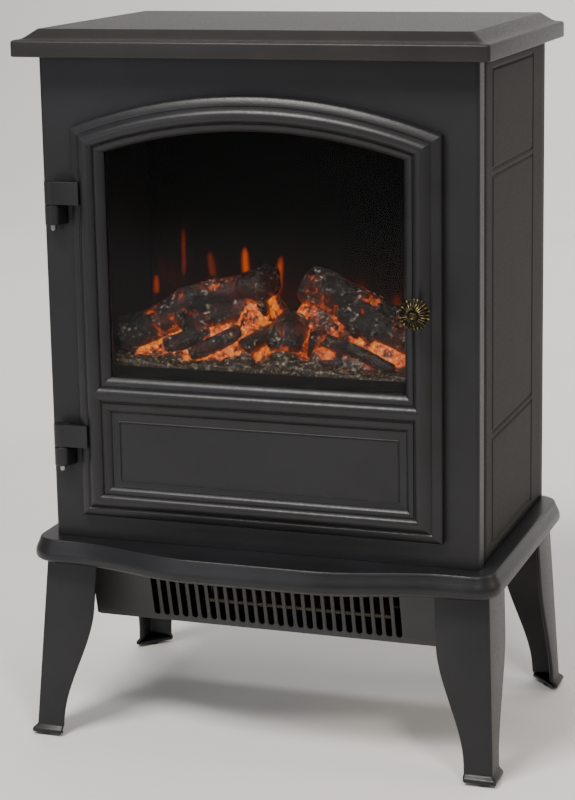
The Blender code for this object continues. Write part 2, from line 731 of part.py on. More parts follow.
def panel_rectangle(grow):
    half = DOOR_HALF - PANEL_INSET + grow
    low = DOOR_LOW + PANEL_LOW_INSET - grow
    return rectangle(-half, half, low, low + PANEL_HEIGHT + 2 * grow)


def knob_place():
    return DOOR_HALF - KNOB_INSET, DOOR_LOW + KNOB_HEIGHT


def catch_place():
    x, z = knob_place()
    return DOOR_HALF - CATCH_INSET, z + CATCH_ABOVE_KNOB


def make_door_frame():
    """Stepped door moulding, with a rebate behind for the pane and a recessed lower panel."""
    back = door_y(DOOR_GAP)
    face, step = door_y(DOOR_PROUD), door_y(DOOR_STEP_PROUD)
    rebate = door_y(GLASS_FRONT_PROUD + GAP)
    outer = [(door_arch(0.0), back), (door_arch(0.0), step), (door_arch(DOOR_STEP_WIDTH), step),
             (door_arch(DOOR_STEP_WIDTH), face)]
    window = [(opening_arch(DOOR_INNER_STEP), face), (opening_arch(DOOR_INNER_STEP), step),
              (opening_arch(0.0), step), (opening_arch(0.0), rebate),
              (opening_arch(GLASS_LAP), rebate), (opening_arch(GLASS_LAP), back)]
    recess = [(panel_rectangle(0.0), face), (panel_rectangle(0.0), door_y(PANEL_FLOOR_PROUD))]
    frame = stepped_plate("door_frame", outer, [window], [recess],
                          finish("charcoal_door", "303135", 0.38))
    x, z = knob_place()
    centre = (x, back, z)
    hole = SCREW_RADIUS + SCREW_CLEARANCE
    bore = turned("cut_knob_hole", [(hole, -CUT_REACH), (hole, CUT_REACH)], centre, "Y", None, 16)
    head = SCREW_HEAD_RADIUS + SCREW_CLEARANCE
    seat = turned("cut_knob_seat", [(head, -SCREW_SEAT_DEPTH), (head, CUT_REACH)], centre, "Y", None, 20)
    catch_x, catch_z = catch_place()
    half_width = CATCH_WIDTH / 2 + SLIP
    half_length = CATCH_LENGTH / 2 + SLIP
    pocket = plate("cut_strike",
                   rectangle(catch_x - half_width, catch_x + half_width,
                             catch_z - half_length, catch_z + half_length),
                   [], "Y", back - STRIKE_THICKNESS - GAP, back + CUT_REACH, None)
    cut(frame, bore, seat, pocket)


def make_glazing():
    pane_front = door_y(GLASS_FRONT_PROUD)
    pane_back = pane_front + GLASS_THICKNESS
    lap = GLASS_LAP - SLIP
    plate("door_glass", opening_arch(lap), [], "Y", pane_front, pane_back,
          finish("smoked_glass", "0c0b0a", 0.05))
    plate("glass_retainer", opening_arch(lap), [opening_arch(0.0)], "Y", pane_back + GAP,
          pane_back + GAP + RETAINER_THICKNESS, finish("retainer", "1b1b1c", 0.5, 1.0))


def make_knob():
    """A turned brass rosette on a short neck, held from behind the door by a screw."""
    x, z = knob_place()
    front = (x, door_y(DOOR_PROUD), z)
    bore = SCREW_RADIUS + SCREW_CLEARANCE
    radius = KNOB_RADIUS
    neck = radius * 0.36
    profile = [
        (bore, 0.0083), (bore, GAP), (0.006, GAP), (0.006, 0.0015), (neck, 0.004),
        (neck, 0.0095), (radius * 0.7, 0.012), (radius, 0.0145), (radius, 0.0165),
        (radius * 0.8, 0.0188), (radius * 0.5, 0.0208), (radius * 0.4, 0.0235),
        (radius * 0.2, KNOB_REACH),
    ]
    turned("knob", [(r, -d) for r, d in profile], front, "Y",
           finish("antique_brass", "3a3020", 0.35, 1.0), 28)
    back = door_y(DOOR_GAP)
    shank = SCREW_RADIUS
    tip = -(DOOR_PROUD - DOOR_GAP + 0.0078)
    screw = [(shank, tip), (shank, -0.0023), (SCREW_HEAD_RADIUS, -0.0023),
             (SCREW_HEAD_RADIUS, -0.0008), (shank, -0.0003)]
    turned("knob_screw", screw, (x, back, z), "Y", finish("zinc_screw", "8a8c8e", 0.35, 1.0), 16)


def make_catch():
    """A magnet block that looks through the cabinet's front at a strike on the door."""
    x, z = catch_place()
    nose = CATCH_WIDTH / 2
    body = nose + 0.0025
    front = BODY_FRONT + GAP
    seat = BODY_FRONT + SHEET + GAP
    section = [(x - nose, front), (x + nose, front), (x + nose, seat), (x + body, seat),
               (x + body, seat + 0.007), (x - nose, seat + 0.007)]
    plate("magnet_catch", section, [], "Z", z - CATCH_LENGTH / 2, z + CATCH_LENGTH / 2,
          finish("catch_plastic", "202022", 0.5))
    back = door_y(DOOR_GAP)
    box("strike_plate", (x - nose, back - STRIKE_THICKNESS, z - CATCH_LENGTH / 2),
        (x + nose, back - 0.0001, z + CATCH_LENGTH / 2), finish("strike", "77787a", 0.4, 1.0))


def make_hinges():
    """Each hinge has a strap on the door, a lug on the cabinet and a pin through both eyes."""
    iron = "2b2c2f"
    eye = HINGE_EYE_RADIUS
    bore = HINGE_PIN_RADIUS + RUNNING
    strap_back = door_y(DOOR_STEP_PROUD) - GAP - HINGE_Y
    strap_front = strap_back - STRAP_PLATE
    strap_end = HINGE_OFFSET + DOOR_STEP_WIDTH - GAP
    low_turn = math.degrees(math.asin(strap_back / eye))
    high_turn = -360 + math.degrees(math.asin(strap_front / eye))
    strap = arc((0, 0), eye, low_turn, high_turn + 720, 20)
    strap += [(strap_end, strap_front), (strap_end, strap_back)]
    strap = [(HINGE_X + a, HINGE_Y + b) for a, b in strap]
    lug = arc((HINGE_X, HINGE_Y), eye, 180, 360, 12)
    lug += [(HINGE_X + eye + 0.003, BODY_FRONT - GAP), (HINGE_X - eye, BODY_FRONT - GAP)]
    hole = [arc((HINGE_X, HINGE_Y), bore, 0, 342, 19)]
    spring = DOOR_CROWN - DOOR_RISE
    places = (("upper", spring - UPPER_STRAP_DROP), ("lower", DOOR_LOW + LOWER_STRAP_RISE))
    for label, z in places:
        plate("hinge_strap_" + label, strap, hole, "Z", z + GAP, z + STRAP_HEIGHT,
              finish("strap_iron_" + label, iron, 0.42), (HINGE_X, HINGE_Y, z))
        plate("hinge_lug_" + label, lug, hole, "Z", z - LUG_HEIGHT, z - GAP,
              finish("lug_iron_" + label, iron, 0.42))
        pin_low = -LUG_HEIGHT - PIN_TIP
        profile = [(HINGE_PIN_RADIUS * 0.6, pin_low), (HINGE_PIN_RADIUS, pin_low + 0.001),
                   (HINGE_PIN_RADIUS, STRAP_HEIGHT - 0.001)]
        turned("hinge_pin_" + label, profile, (HINGE_X, HINGE_Y, z), "Z",
               finish("pin_steel_" + label, "34353a", 0.4, 1.0), 20)


# ---- firebox ----
def firebox_inner():
    """The liner's inside: its half width, floor and ceiling."""
    half = OPENING_HALF + WINDOW_LAP + LINER_LAP
    ceiling = DOOR_ARC_CENTRE + OPENING_RADIUS + WINDOW_LAP + LINER_HEADROOM
    return half, LINER_LOW + LINER_SHEET, ceiling


def open_box(name, half, low, high, front, back, sheet, flange, material):
    """A sheet box with an open front, and a flange round it if the flange isn't nothing."""
    def ring(grow, y):
        outline = rectangle(-half - grow, half + grow, low - grow, high + grow)
        return [(x, y, z) for x, z in outline]

    rings = [ring(sheet, back)]
    if flange:
        rings += [ring(sheet, front + sheet), ring(sheet + flange, front + sheet),
                  ring(sheet + flange, front)]
    else:
        rings.append(ring(sheet, front))
    rings += [ring(0.0, front), ring(0.0, back - sheet)]
    return loft(name, rings, material)


def make_firebox():
    half, low, high = firebox_inner()
    open_box("firebox_liner", half, low, high, LINER_FRONT, LINER_BACK, LINER_SHEET, 0.0,
             finish("matt_black_liner", "0e0e0e", 0.8))
    screen = LINER_BACK - SCREEN_FROM_BACK
    box("flame_screen", (-half + SLIP, screen, FLOOR),
        (half - SLIP, screen + SCREEN_THICKNESS, high - SCREEN_TOP_GAP),
        finish("dark_screen", "0b0a0a", 0.3))
    baffle = LINER_BACK - BAFFLE_FROM_BACK
    holes = []
    count = 7
    for i in range(count):
        x = (i - (count - 1) / 2) * half * 1.7 / count
        height = 0.050 + 0.022 * math.sin(2.3 * i)
        holes.append([(x, FLOOR + 0.025), (x + 0.006, FLOOR + 0.040), (x + 0.002, FLOOR + 0.055),
                      (x + 0.001, FLOOR + 0.040 + height), (x - 0.005, FLOOR + 0.050)])
    outline = rectangle(-half + SLIP, half - SLIP, FLOOR, FLOOR + BAFFLE_HEIGHT)
    plate("flame_baffle", outline, holes, "Y", baffle, baffle + LINER_SHEET,
          finish("baffle_tin", "6d6e70", 0.3, 1.0))


def make_spindle():
    """The flame spindle with its reflective flags, its bush, and the motor that turns it."""
    half = firebox_inner()[0]
    y = LINER_BACK - SPINDLE_FROM_BACK
    z = FLOOR + SPINDLE_HEIGHT
    motor_left = half - SPINDLE_END_SPACE - FLAME_MOTOR_LENGTH
    bush_right = -half + SPINDLE_END_SPACE + SPINDLE_BUSH_LENGTH
    left = bush_right - SPINDLE_SEAT
    right = motor_left + SPINDLE_SEAT
    pivot = ((left + right) / 2, y, z)
    steel = finish("bright_spindle", "b9babc", 0.2, 1.0)
    spindle = turned("flame_spindle", [(SPINDLE_RADIUS, left), (SPINDLE_RADIUS, right)],
                     (0.0, y, z), "X", steel, 16, pivot)
    span = motor_left - bush_right - 2 * SPINDLE_SEAT
    pitch = span / FLAG_COUNT
    for i in range(FLAG_COUNT):
        x = bush_right + SPINDLE_SEAT + pitch * i
        turn = FLAG_TURN * i
        rise = (math.cos(turn), math.sin(turn))
        side = (-rise[1] * FLAG_THICKNESS / 2, rise[0] * FLAG_THICKNESS / 2)
        outline = [
            (y + s * rise[0] * FLAG_RADIUS + e * side[0], z + s * rise[1] * FLAG_RADIUS + e * side[1])
            for s, e in ((1, 1), (-1, 1), (-1, -1), (1, -1))
        ]
        flag = plate(f"flag_{i}", outline, [], "X", x + FLAG_GAP / 2, x + pitch - FLAG_GAP / 2, None)
        join(spindle, flag)
    bore = SPINDLE_RADIUS + RUNNING
    ring = arc((y, z), bore, 0, 337.5, 15)
    outline = rectangle(y - SPINDLE_BUSH_HALF, y + SPINDLE_BUSH_HALF, FLOOR,
                        z + SPINDLE_BUSH_HALF)
    plate("spindle_bush", outline, [ring], "X", bush_right - SPINDLE_BUSH_LENGTH, bush_right,
          finish("acetal_bush", "d8d6cf", 0.5))
    radius = FLAME_MOTOR_RADIUS
    profile = [(bore, 0.0065), (bore, 0.0), (radius * 0.4, 0.0), (radius * 0.4, 0.001),
               (radius, 0.0012), (radius, FLAME_MOTOR_LENGTH)]
    motor = turned("flame_motor", profile, (motor_left, y, z), "X",
                   finish("motor_can", "9a9b9d", 0.35, 1.0), 24)
    foot = box("motor_foot", (motor_left + 0.008, y - 0.010, FLOOR),
               (motor_left + FLAME_MOTOR_LENGTH - 0.002, y + 0.010, z - radius * 0.6), None)
    join(motor, foot)


def led_board(name, low, high, count, material):
    """A strip circuit board with a row of square lamps on it."""
    board = box(name, low, high, material)
    pitch = (high[0] - low[0]) / count
    middle = (low[1] + high[1]) / 2
    for i in range(count):
        x = low[0] + (i + 0.5) * pitch
        lamp = box(f"{name}_lamp_{i}", (x - 0.0025, middle - 0.0025, high[2] - 0.0005),
                   (x + 0.0025, middle + 0.0025, high[2] + 0.0015), None)
        join(board, lamp)


def log_sticks():
    """The logs as (start, end, start radius, end radius), from the bed's front left corner."""
    half = firebox_inner()[0] - LOG_SIDE_GAP
    depth = LINER_BACK - SCREEN_FROM_BACK - LOG_REAR_SPACE - (LINER_FRONT + LOG_FRONT_SPACE)
    return [
        ((-0.98 * half, 0.30 * depth, 0.030), (-0.15 * half, 0.60 * depth, 0.068), 0.015, 0.013),
        ((0.18 * half, 0.70 * depth, 0.072), (0.92 * half, 0.52 * depth, 0.034), 0.012, 0.015),
        ((0.12 * half, 0.22 * depth, 0.036), (0.00 * half, 0.66 * depth, 0.048), 0.014, 0.013),
        ((-0.72 * half, 0.16 * depth, 0.020), (-0.48 * half, 0.28 * depth, 0.028), 0.010, 0.009),
        ((-0.46 * half, 0.14 * depth, 0.020), (-0.22 * half, 0.30 * depth, 0.034), 0.010, 0.009),
        ((0.34 * half, 0.22 * depth, 0.034), (0.80 * half, 0.14 * depth, 0.018), 0.008, 0.008),
    ]


def bed_height(x, forward, half, depth, sticks):
    """The bed's rise above its underside: a sloping ash bed, or the highest log over it."""
    edge = min(half - abs(x), forward + 0.004, depth - forward)
    height = (BED_HEIGHT + BED_RISE * forward / depth) * (0.65 + 0.35 * smooth(edge / 0.012))
    for start, end, radius_a, radius_b in sticks:
        run = Vector((end[0] - start[0], end[1] - start[1]))
        along = Vector((x - start[0], forward - start[1])).dot(run) / run.length_squared
        part = min(max(along, 0.0), 1.0)
        across = Vector((x, forward)) - Vector(start[:2]) - run * part
        radius = radius_a + (radius_b - radius_a) * part
        if across.length < radius:
            axis = start[2] + (end[2] - start[2]) * part
            height = max(height, axis + math.sqrt(radius**2 - across.length_squared))
    return height


def make_fuel_bed():
    """The moulded logs and ash as one hollow moulding, with the glow lamps in its hollow."""
    half = firebox_inner()[0] - LOG_SIDE_GAP
    front = LINER_FRONT + LOG_FRONT_SPACE
    depth = LINER_BACK - SCREEN_FROM_BACK - LOG_REAR_SPACE - front
    sticks = log_sticks()
    columns, rows = 42, 14
    low = FLOOR
    points = []
    for j in range(rows + 1):
        for i in range(columns + 1):
            x = -half + 2 * half * i / columns
            forward = depth * j / rows
            z = low + bed_height(x, forward, half, depth, sticks)
            points.append((x, front + forward, z))
    wide = columns + 1
    faces = []
    for j in range(rows):
        for i in range(columns):
            a = j * wide + i
            faces.append((a, a + 1, a + wide + 1, a + wide))
    rim = list(range(wide))
    rim += [j * wide + columns for j in range(1, rows + 1)]
    rim += [rows * wide + i for i in range(columns - 1, -1, -1)]
    rim += [j * wide for j in range(rows - 1, 0, -1)]
    first = len(points)
    points += [(points[i][0], points[i][1], low) for i in rim]
    for k, top in enumerate(rim):
        following = (k + 1) % len(rim)
        faces.append((top, rim[following], first + following, first + k))
    faces.append(tuple(range(first, first + len(rim))))
    bed = build("log_set", points, faces, finish("moulded_logs", "2a241d", 0.6))
    wall = 0.012
    hollow = box("cut_log_hollow", (-half + wall, front + wall, low - 0.01),
                 (half - wall, front + depth - wall, low + BED_HEIGHT * 0.55), None)
    cut(bed, hollow)
    board = finish("glow_board", "1d5a3a", 0.5)
    middle = front + depth * 0.45
    led_board("glow_led_board", (-half + 0.030, middle - 0.010, low),
              (half - 0.030, middle + 0.010, low + 0.0016), 8, board)
    y = LINER_BACK - SPINDLE_FROM_BACK
    led_board("flame_led_board", (-half + 0.035, y - 0.008, low),
              (half - 0.045, y + 0.008, low + 0.0016), 8, finish("flame_board", "1d5a3a", 0.5))


# ---- heater ----
def heater_front(z):
    """The heater box's sloping front at a height, as a Y place."""
    rise = (z - HEATER_LOW) / HEATER_HEIGHT
    setback = HEATER_LOW_SETBACK + (HEATER_TOP_SETBACK - HEATER_LOW_SETBACK) * rise
    return BODY_FRONT + setback


def make_heater_box():
    """The heater's sheet tray, open at the front and top, and the slotted grille before it."""
    shell = [
        (heater_front(HEATER_LOW) + GRILLE_THICKNESS + GAP, HEATER_LOW), (HEATER_BACK, HEATER_LOW),
        (HEATER_BACK, HEATER_TOP), (heater_front(HEATER_TOP) + GRILLE_THICKNESS + GAP, HEATER_TOP),
    ]
    tray = plate("heater_tray", shell, [], "X", -HEATER_HALF, HEATER_HALF,
                 finish("black_tray", "1b1b1c", 0.55))
    inner_back = HEATER_BACK - LINER_SHEET
    hollow = rectangle(BODY_FRONT - 0.05, inner_back, HEATER_LOW + LINER_SHEET, HEATER_TOP + 0.01)
    cut(tray, plate("cut_tray", hollow, [], "X", -HEATER_HALF + LINER_SHEET,
                    HEATER_HALF - LINER_SHEET, None))
    count = int((2 * HEATER_HALF - 2 * SLOT_SIDE_MARGIN) / SLOT_PITCH)
    holes = []
    radius = SLOT_WIDTH / 2
    for i in range(count):
        x = (i - (count - 1) / 2) * SLOT_PITCH
        low = arc((x, HEATER_LOW + SLOT_LOW + radius), radius, 180, 360, 4)
        top = HEATER_LOW + SLOT_TOP
        holes.append([*low, (x + radius, top), (x - radius, top)])
    outline = rectangle(-HEATER_HALF, HEATER_HALF, HEATER_LOW, HEATER_TOP)
    grille = plate("heater_grille", outline, holes, "Y", 0.0, GRILLE_THICKNESS,
                   finish("charcoal_grille", "2f2f30", 0.5))
    for corner in grille.data.vertices:
        corner.co.y += heater_front(corner.co.z)


def make_heater():
    """Element, tangential blower and its motor, bush and guide, and the cut-out."""
    y = HEATER_BACK - BLOWER_FROM_BACK
    z = HEATER_LOW + BLOWER_HEIGHT
    element_low = HEATER_FLOOR + 0.014
    element_high = HEATER_TOP - 0.006
    fins = 19
    pitch = (BLOWER_RIGHT - BLOWER_LEFT) / fins
    holes = []
    for i in range(fins):
        x = BLOWER_LEFT + (i + 0.5) * pitch
        holes.append(rectangle(x - pitch * 0.36, x + pitch * 0.36, element_low + 0.003,
                               element_high - 0.003))
    outline = rectangle(BLOWER_LEFT - 0.002, BLOWER_RIGHT + 0.002, element_low, element_high)
    front = y - ELEMENT_AHEAD
    plate("heating_element", outline, holes, "Y", front, front + ELEMENT_DEPTH,
          finish("element_alloy", "6f6048", 0.45, 1.0))

    sides = 4 * BLOWER_BLADES
    stub = BLOWER_STUB_RADIUS

    def ring(x, radius, fluted):
        points = []
        for i in range(sides):
            turn = 2 * math.pi * i / sides
            r = radius * (0.74 if fluted and i % 4 > 1 else 1.0)
            points.append((x, y + r * math.cos(turn), z + r * math.sin(turn)))
        return points

    left, right = BLOWER_LEFT, BLOWER_RIGHT
    disc = 0.0015
    rings = [ring(left - 0.008, stub, False), ring(left, stub, False),
             ring(left, BLOWER_RADIUS, False), ring(left + disc, BLOWER_RADIUS, False),
             ring(left + disc, BLOWER_RADIUS - 0.0005, True),
             ring(right - disc, BLOWER_RADIUS - 0.0005, True),
             ring(right - disc, BLOWER_RADIUS, False), ring(right, BLOWER_RADIUS, False),
             ring(right, stub, False), ring(right + 0.008, stub, False)]
    loft("blower_impeller", rings, finish("impeller_alloy", "8b8c8e", 0.35, 1.0),
         ((left + right) / 2, y, z))

    bore = stub + RUNNING
    motor_right = left - 0.002
    radius = BLOWER_MOTOR_RADIUS
    profile = [(bore, -0.0075), (bore, 0.0), (radius * 0.5, 0.0), (radius * 0.5, -0.003),
               (radius, -0.0035), (radius, -BLOWER_MOTOR_LENGTH)]
    motor = turned("blower_motor", profile, (motor_right, y, z), "X",
                   finish("motor_laminations", "3b3c3e", 0.5, 1.0), 24)
    foot = box("blower_motor_foot", (motor_right - 0.028, y - 0.012, HEATER_FLOOR),
               (motor_right - 0.010, y + 0.012, z - radius * 0.6), None)
    join(motor, foot)
    hole = arc((y, z), bore, 0, 340, 17)
    post = rectangle(y - 0.008, y + 0.008, HEATER_FLOOR, z + 0.008)
    plate("blower_bush", post, [hole], "X", right + 0.002, right + 0.010,
          finish("blower_bush", "c9c7c0", 0.5))
    clear = BLOWER_RADIUS + 0.002
    guide = arc((y, z), clear + 0.001, -60, 95, 14) + arc((y, z), clear, 95, -60, 14)
    plate("blower_guide", guide, [], "X", left, right, finish("guide_sheet", "8f9092", 0.4, 1.0))
    turned("thermal_cutout", [(0.008, 0.0), (0.008, 0.005), (0.005, 0.0055), (0.005, 0.008)],
           (HEATER_HALF - 0.032, y - 0.030, HEATER_FLOOR), "Z",
           finish("cutout_cap", "b3b4b6", 0.3, 1.0), 16)


# ---- controls ----
def rocker_places():
    return [ROCKER_FIRST + i * ROCKER_PITCH for i in range(3)]


def make_controls():
    """The recessed control panel behind the door, with three rockers and a dial."""
    face = CONTROL_FACE
    panel = open_box("control_panel", CONTROL_HALF - SHEET, CONTROL_LOW + SHEET,
                     CONTROL_LOW + CONTROL_HEIGHT - SHEET, BODY_FRONT + SHEET + GAP,
                     face + SHEET, SHEET, CONTROL_FLANGE, finish("control_black", "1c1c1d", 0.5))
    labels = ("flame", "low_heat", "high_heat")
    tilts = (-ROCKER_TILT, ROCKER_TILT, ROCKER_TILT)
    for x, label, tilt in zip(rocker_places(), labels, tilts):
        make_switch(panel, x, label, tilt)
    z = CONTROL_MIDDLE
    shaft = DIAL_SHAFT_RADIUS
    cut(panel, turned("cut_dial_hole", [(shaft + 0.0005, -0.01), (shaft + 0.0005, 0.01)],
                      (DIAL_X, face, z), "Y", None, 20))
    grip = DIAL_RADIUS
    profile = [(shaft, SHEET + 0.009), (shaft, -GAP), (grip, -GAP), (grip, -0.0025),
               (grip * 0.8, -0.0035), (grip * 0.74, -0.0085), (grip * 0.66, -0.0095)]
    turned("thermostat_dial", profile, (DIAL_X, face, z), "Y",
           finish("dial_black", "161617", 0.4), 28, (DIAL_X, face, z))
    bore = shaft + RUNNING
    back = face + SHEET + GAP
    body = plate("thermostat_body",
                 rounded_rectangle(DIAL_X - 0.014, DIAL_X + 0.014, z - 0.014, z + 0.014, 0.003),
                 [], "Y", back, back + 0.018, finish("thermostat_plastic", "c6c2b4", 0.5))
    cut(body, turned("cut_thermostat_bore", [(bore, -0.01), (bore, 0.0105)], (DIAL_X, back, z),
                     "Y", None, 28))


def make_switch(panel, x, label, tilt):
    """A switch body snapped into the panel, and its rocker on a cross pivot."""
    face, z = CONTROL_FACE, CONTROL_MIDDLE
    half_x, half_z = SWITCH_HALF_WIDTH, SWITCH_HALF_HEIGHT
    cut(panel, box("cut_switch_" + label, (x - half_x - GAP, face - 0.01, z - half_z - GAP),
                   (x + half_x + GAP, face + 0.02, z + half_z + GAP), None))
    wall = 0.0013
    rim = 0.0012

    def ring(grow, y):
        outline = rectangle(x - half_x - grow, x + half_x + grow, z - half_z - grow,
                            z + half_z + grow)
        return [(px, y, pz) for px, pz in outline]

    front = face - GAP - SWITCH_BEZEL
    rings = [ring(0.0, face + SWITCH_DEPTH), ring(0.0, face - GAP), ring(rim, face - GAP),
             ring(rim, front), ring(-wall, front), ring(-wall, front + SWITCH_POCKET)]
    loft("switch_body_" + label, rings, finish("switch_black_" + label, "141415", 0.45))
    pivot = (x, face + 0.0012, z)
    reach = half_z - wall - 0.0009
    section = [(-0.0050, reach), (-0.0034, 0.0), (-0.0050, -reach), (0.0022, -reach + 0.0025),
               (0.0022, reach - 0.0025)]
    turn_cos, turn_sin = math.cos(tilt), math.sin(tilt)
    outline = [(pivot[1] + a * turn_cos - b * turn_sin, pivot[2] + a * turn_sin + b * turn_cos)
               for a, b in section]
    half_rocker = half_x - wall - 0.0004
    colour = "b3321f" if label == "flame" else "202022"
    plate("rocker_" + label, outline, [], "X", x - half_rocker, x + half_rocker,
          finish("rocker_" + label, colour, 0.35), pivot)


def make_terminal_block():
    """The block that takes the supply's wires, on the base beside the gland."""
    floor = BASE_TOP + GAP
    gland_x = gland_place()[0]
    box("terminal_block", (gland_x - 0.028, BODY_BACK - 0.055, floor),
        (gland_x + 0.012, BODY_BACK - 0.035, floor + 0.018), finish("terminal", "d9d6c8", 0.5))


def main():
    clear_scene()
    make_top_plate()
    make_base()
    make_fascia()
    make_side_panels()
    make_rear_cover()
    make_cable_gland()
    make_legs()
    make_door_frame()
    make_glazing()
    make_knob()
    make_catch()
    make_hinges()
    make_firebox()
    make_spindle()
    make_fuel_bed()
    make_heater_box()
    make_heater()
    make_controls()
    make_terminal_block()


main()
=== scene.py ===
"""Looks of the electric stove fireplace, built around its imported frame.

Metres, +Z up, -Y is the front. Every new piece is a surface worked out on a grid of points, or a
profile carried along an outline, and takes its place and size from the frame's nodes.
"""

import math

import bmesh
import bpy
import numpy as np
from mathutils import Matrix, Vector


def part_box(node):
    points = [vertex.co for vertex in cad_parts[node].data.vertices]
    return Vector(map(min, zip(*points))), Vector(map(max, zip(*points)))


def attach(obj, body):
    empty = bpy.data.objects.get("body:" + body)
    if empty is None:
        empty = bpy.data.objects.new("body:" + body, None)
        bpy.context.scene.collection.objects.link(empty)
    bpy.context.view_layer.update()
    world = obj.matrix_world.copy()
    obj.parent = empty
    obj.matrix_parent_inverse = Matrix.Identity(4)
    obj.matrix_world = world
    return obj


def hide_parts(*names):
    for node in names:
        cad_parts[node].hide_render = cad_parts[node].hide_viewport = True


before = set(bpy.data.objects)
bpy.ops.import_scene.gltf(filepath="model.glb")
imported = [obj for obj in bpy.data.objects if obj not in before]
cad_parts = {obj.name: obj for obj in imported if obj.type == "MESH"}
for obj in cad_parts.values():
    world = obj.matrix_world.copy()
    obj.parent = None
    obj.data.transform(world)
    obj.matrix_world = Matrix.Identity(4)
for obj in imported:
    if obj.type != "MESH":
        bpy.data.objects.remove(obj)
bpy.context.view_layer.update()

MM = 0.001

# ---- places read from the frame ----
FASCIA_LOW, FASCIA_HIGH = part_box("fascia")
BODY_HALF, BODY_FRONT = FASCIA_HIGH.x, FASCIA_LOW.y
BODY_LOW, BODY_TOP = FASCIA_LOW.z, FASCIA_HIGH.z
BODY_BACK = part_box("side_panel_right")[1].y
DOOR_BOX_LOW, DOOR_BOX_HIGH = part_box("door_frame")
DOOR_HALF, DOOR_FRONT, DOOR_BACK = DOOR_BOX_HIGH.x, DOOR_BOX_LOW.y, DOOR_BOX_HIGH.y
DOOR_LOW, DOOR_CROWN = DOOR_BOX_LOW.z, DOOR_BOX_HIGH.z
GLASS_LOW, GLASS_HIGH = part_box("door_glass")

# ---- sizes of the door that the frame's boxes don't give ----
DOOR_RISE = 27 * MM          # crown above the springing
GLASS_LAP = 5.9 * MM         # pane behind the moulding
REBATE = 6.5 * MM
CREST = 15.5 * MM            # moulding's crest inside the door's edge
DOOR_RADIUS = (DOOR_HALF**2 + DOOR_RISE**2) / (2 * DOOR_RISE)
ARC_CENTRE = DOOR_CROWN - DOOR_RADIUS
OPENING_HALF = GLASS_HIGH.x - GLASS_LAP
OPENING_LOW = GLASS_LOW.z + GLASS_LAP
OPENING_RADIUS = GLASS_HIGH.z - GLASS_LAP - ARC_CENTRE
RAIL_CREST = OPENING_LOW - 13.5 * MM
PANEL_HALF = DOOR_HALF - 35.5 * MM
PANEL_LOW, PANEL_HIGH = DOOR_LOW + 32 * MM, DOOR_LOW + 79 * MM
MERGE = 2e-6                 # points closer than this are one point
SHARP = 32.0                 # edges past this many degrees stay crisp


# ---- arrays into meshes ----
def quads(rows, columns, wrap_rows=False, wrap_columns=False):
    """Point numbers of a grid's four-sided faces; the points run row by row."""
    r = np.arange(rows if wrap_rows else rows - 1)
    c = np.arange(columns if wrap_columns else columns - 1)
    r, c = np.meshgrid(r, c, indexing="ij")
    r2, c2 = (r + 1) % rows, (c + 1) % columns
    corners = [r * columns + c, r * columns + c2, r2 * columns + c2, r2 * columns + c]
    return np.stack(corners, axis=-1).reshape(-1, 4)


def in_scene(name, data):
    """A new object, linked into the scene."""
    thing = bpy.data.objects.new(name, data)
    bpy.context.scene.collection.objects.link(thing)
    return thing


def reworked(source, job, target=None):
    """Opens a mesh, does the job on it, and writes it back, or into the target mesh."""
    work = bmesh.new()
    work.from_mesh(source)
    job(work)
    work.to_mesh(target or source)
    work.free()


def smooth(mesh, sharp=SHARP):
    """Smooth shading, crisp at edges past this many degrees."""
    mesh.shade_smooth()
    mesh.set_sharp_from_angle(angle=math.radians(sharp))


def from_arrays(name, points, faces):
    """A mesh from an array of points and blocks of faces."""
    mesh = bpy.data.meshes.new(name)
    mesh.from_pydata(np.asarray(points, float).reshape(-1, 3).tolist(), [],
                     [face for block in faces for face in np.asarray(block).tolist()])
    return mesh


def stands(thing, body, slot, *nodes):
    """Says which body a piece rides on and the frame nodes that it stands for; the slot is not
    used.
    """
    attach(thing, body)
    if nodes:
        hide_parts(*nodes)
    return thing


def piece(name, points, faces, finish, body, slot, stands_for=(), sharp=SHARP, creases=None,
          values=None):
    """A mesh object from arrays, merged where its borders meet, faces outwards, on its body.

    creases are lines of points whose edges stay sharp; values are float attributes by name.
    """
    def close(work):
        bmesh.ops.remove_doubles(work, verts=work.verts, dist=MERGE)
        bmesh.ops.recalc_face_normals(work, faces=work.faces)

    mesh = from_arrays(name, points, faces)
    for key, numbers in (values or {}).items():
        layer = mesh.attributes.new(key, "FLOAT", "POINT")
        layer.data.foreach_set("value", np.asarray(numbers, np.float32).ravel())
    reworked(mesh, close)
    smooth(mesh, sharp)
    if creases is not None:
        sharpen(mesh, creases)
    mesh.materials.append(finish)
    return stands(in_scene(name, mesh), body, slot, *stands_for)


def sharpen(mesh, lines):
    """Marks as sharp the edges whose two ends both lie on one of the lines of points."""
    places = np.empty(len(mesh.vertices) * 3)
    mesh.vertices.foreach_get("co", places)
    places = places.reshape(-1, 3)
    ends = np.empty(len(mesh.edges) * 2, int)
    mesh.edges.foreach_get("vertices", ends)
    ends = ends.reshape(-1, 2)
    marks = np.empty(len(mesh.edges), bool)
    layer = (mesh.attributes.get("sharp_edge")
             or mesh.attributes.new("sharp_edge", "BOOLEAN", "EDGE"))
    layer.data.foreach_get("value", marks)
    for chain in lines:
        chain = np.asarray(chain)
        near = np.linalg.norm(places[:, None, :] - chain[None, :, :], axis=2).min(axis=1) < 5e-6
        marks |= near[ends].all(axis=1)
    layer.data.foreach_set("value", marks)


def outline_rings(outlines, heights, axis=2):
    """Stacks outlines (N, 2) into rings (R, N, 3); the height goes in at the given axis."""
    return np.stack([np.insert(outline, axis, height, axis=1)
                     for outline, height in zip(outlines, heights)])


def capped(rings):
    """A closed solid's faces: walls between the rings, and a flat cap at either end."""
    rows, columns = rings.shape[:2]
    first = np.arange(columns)[None, :]
    return [quads(rows, columns, wrap_columns=True), first, first + (rows - 1) * columns]


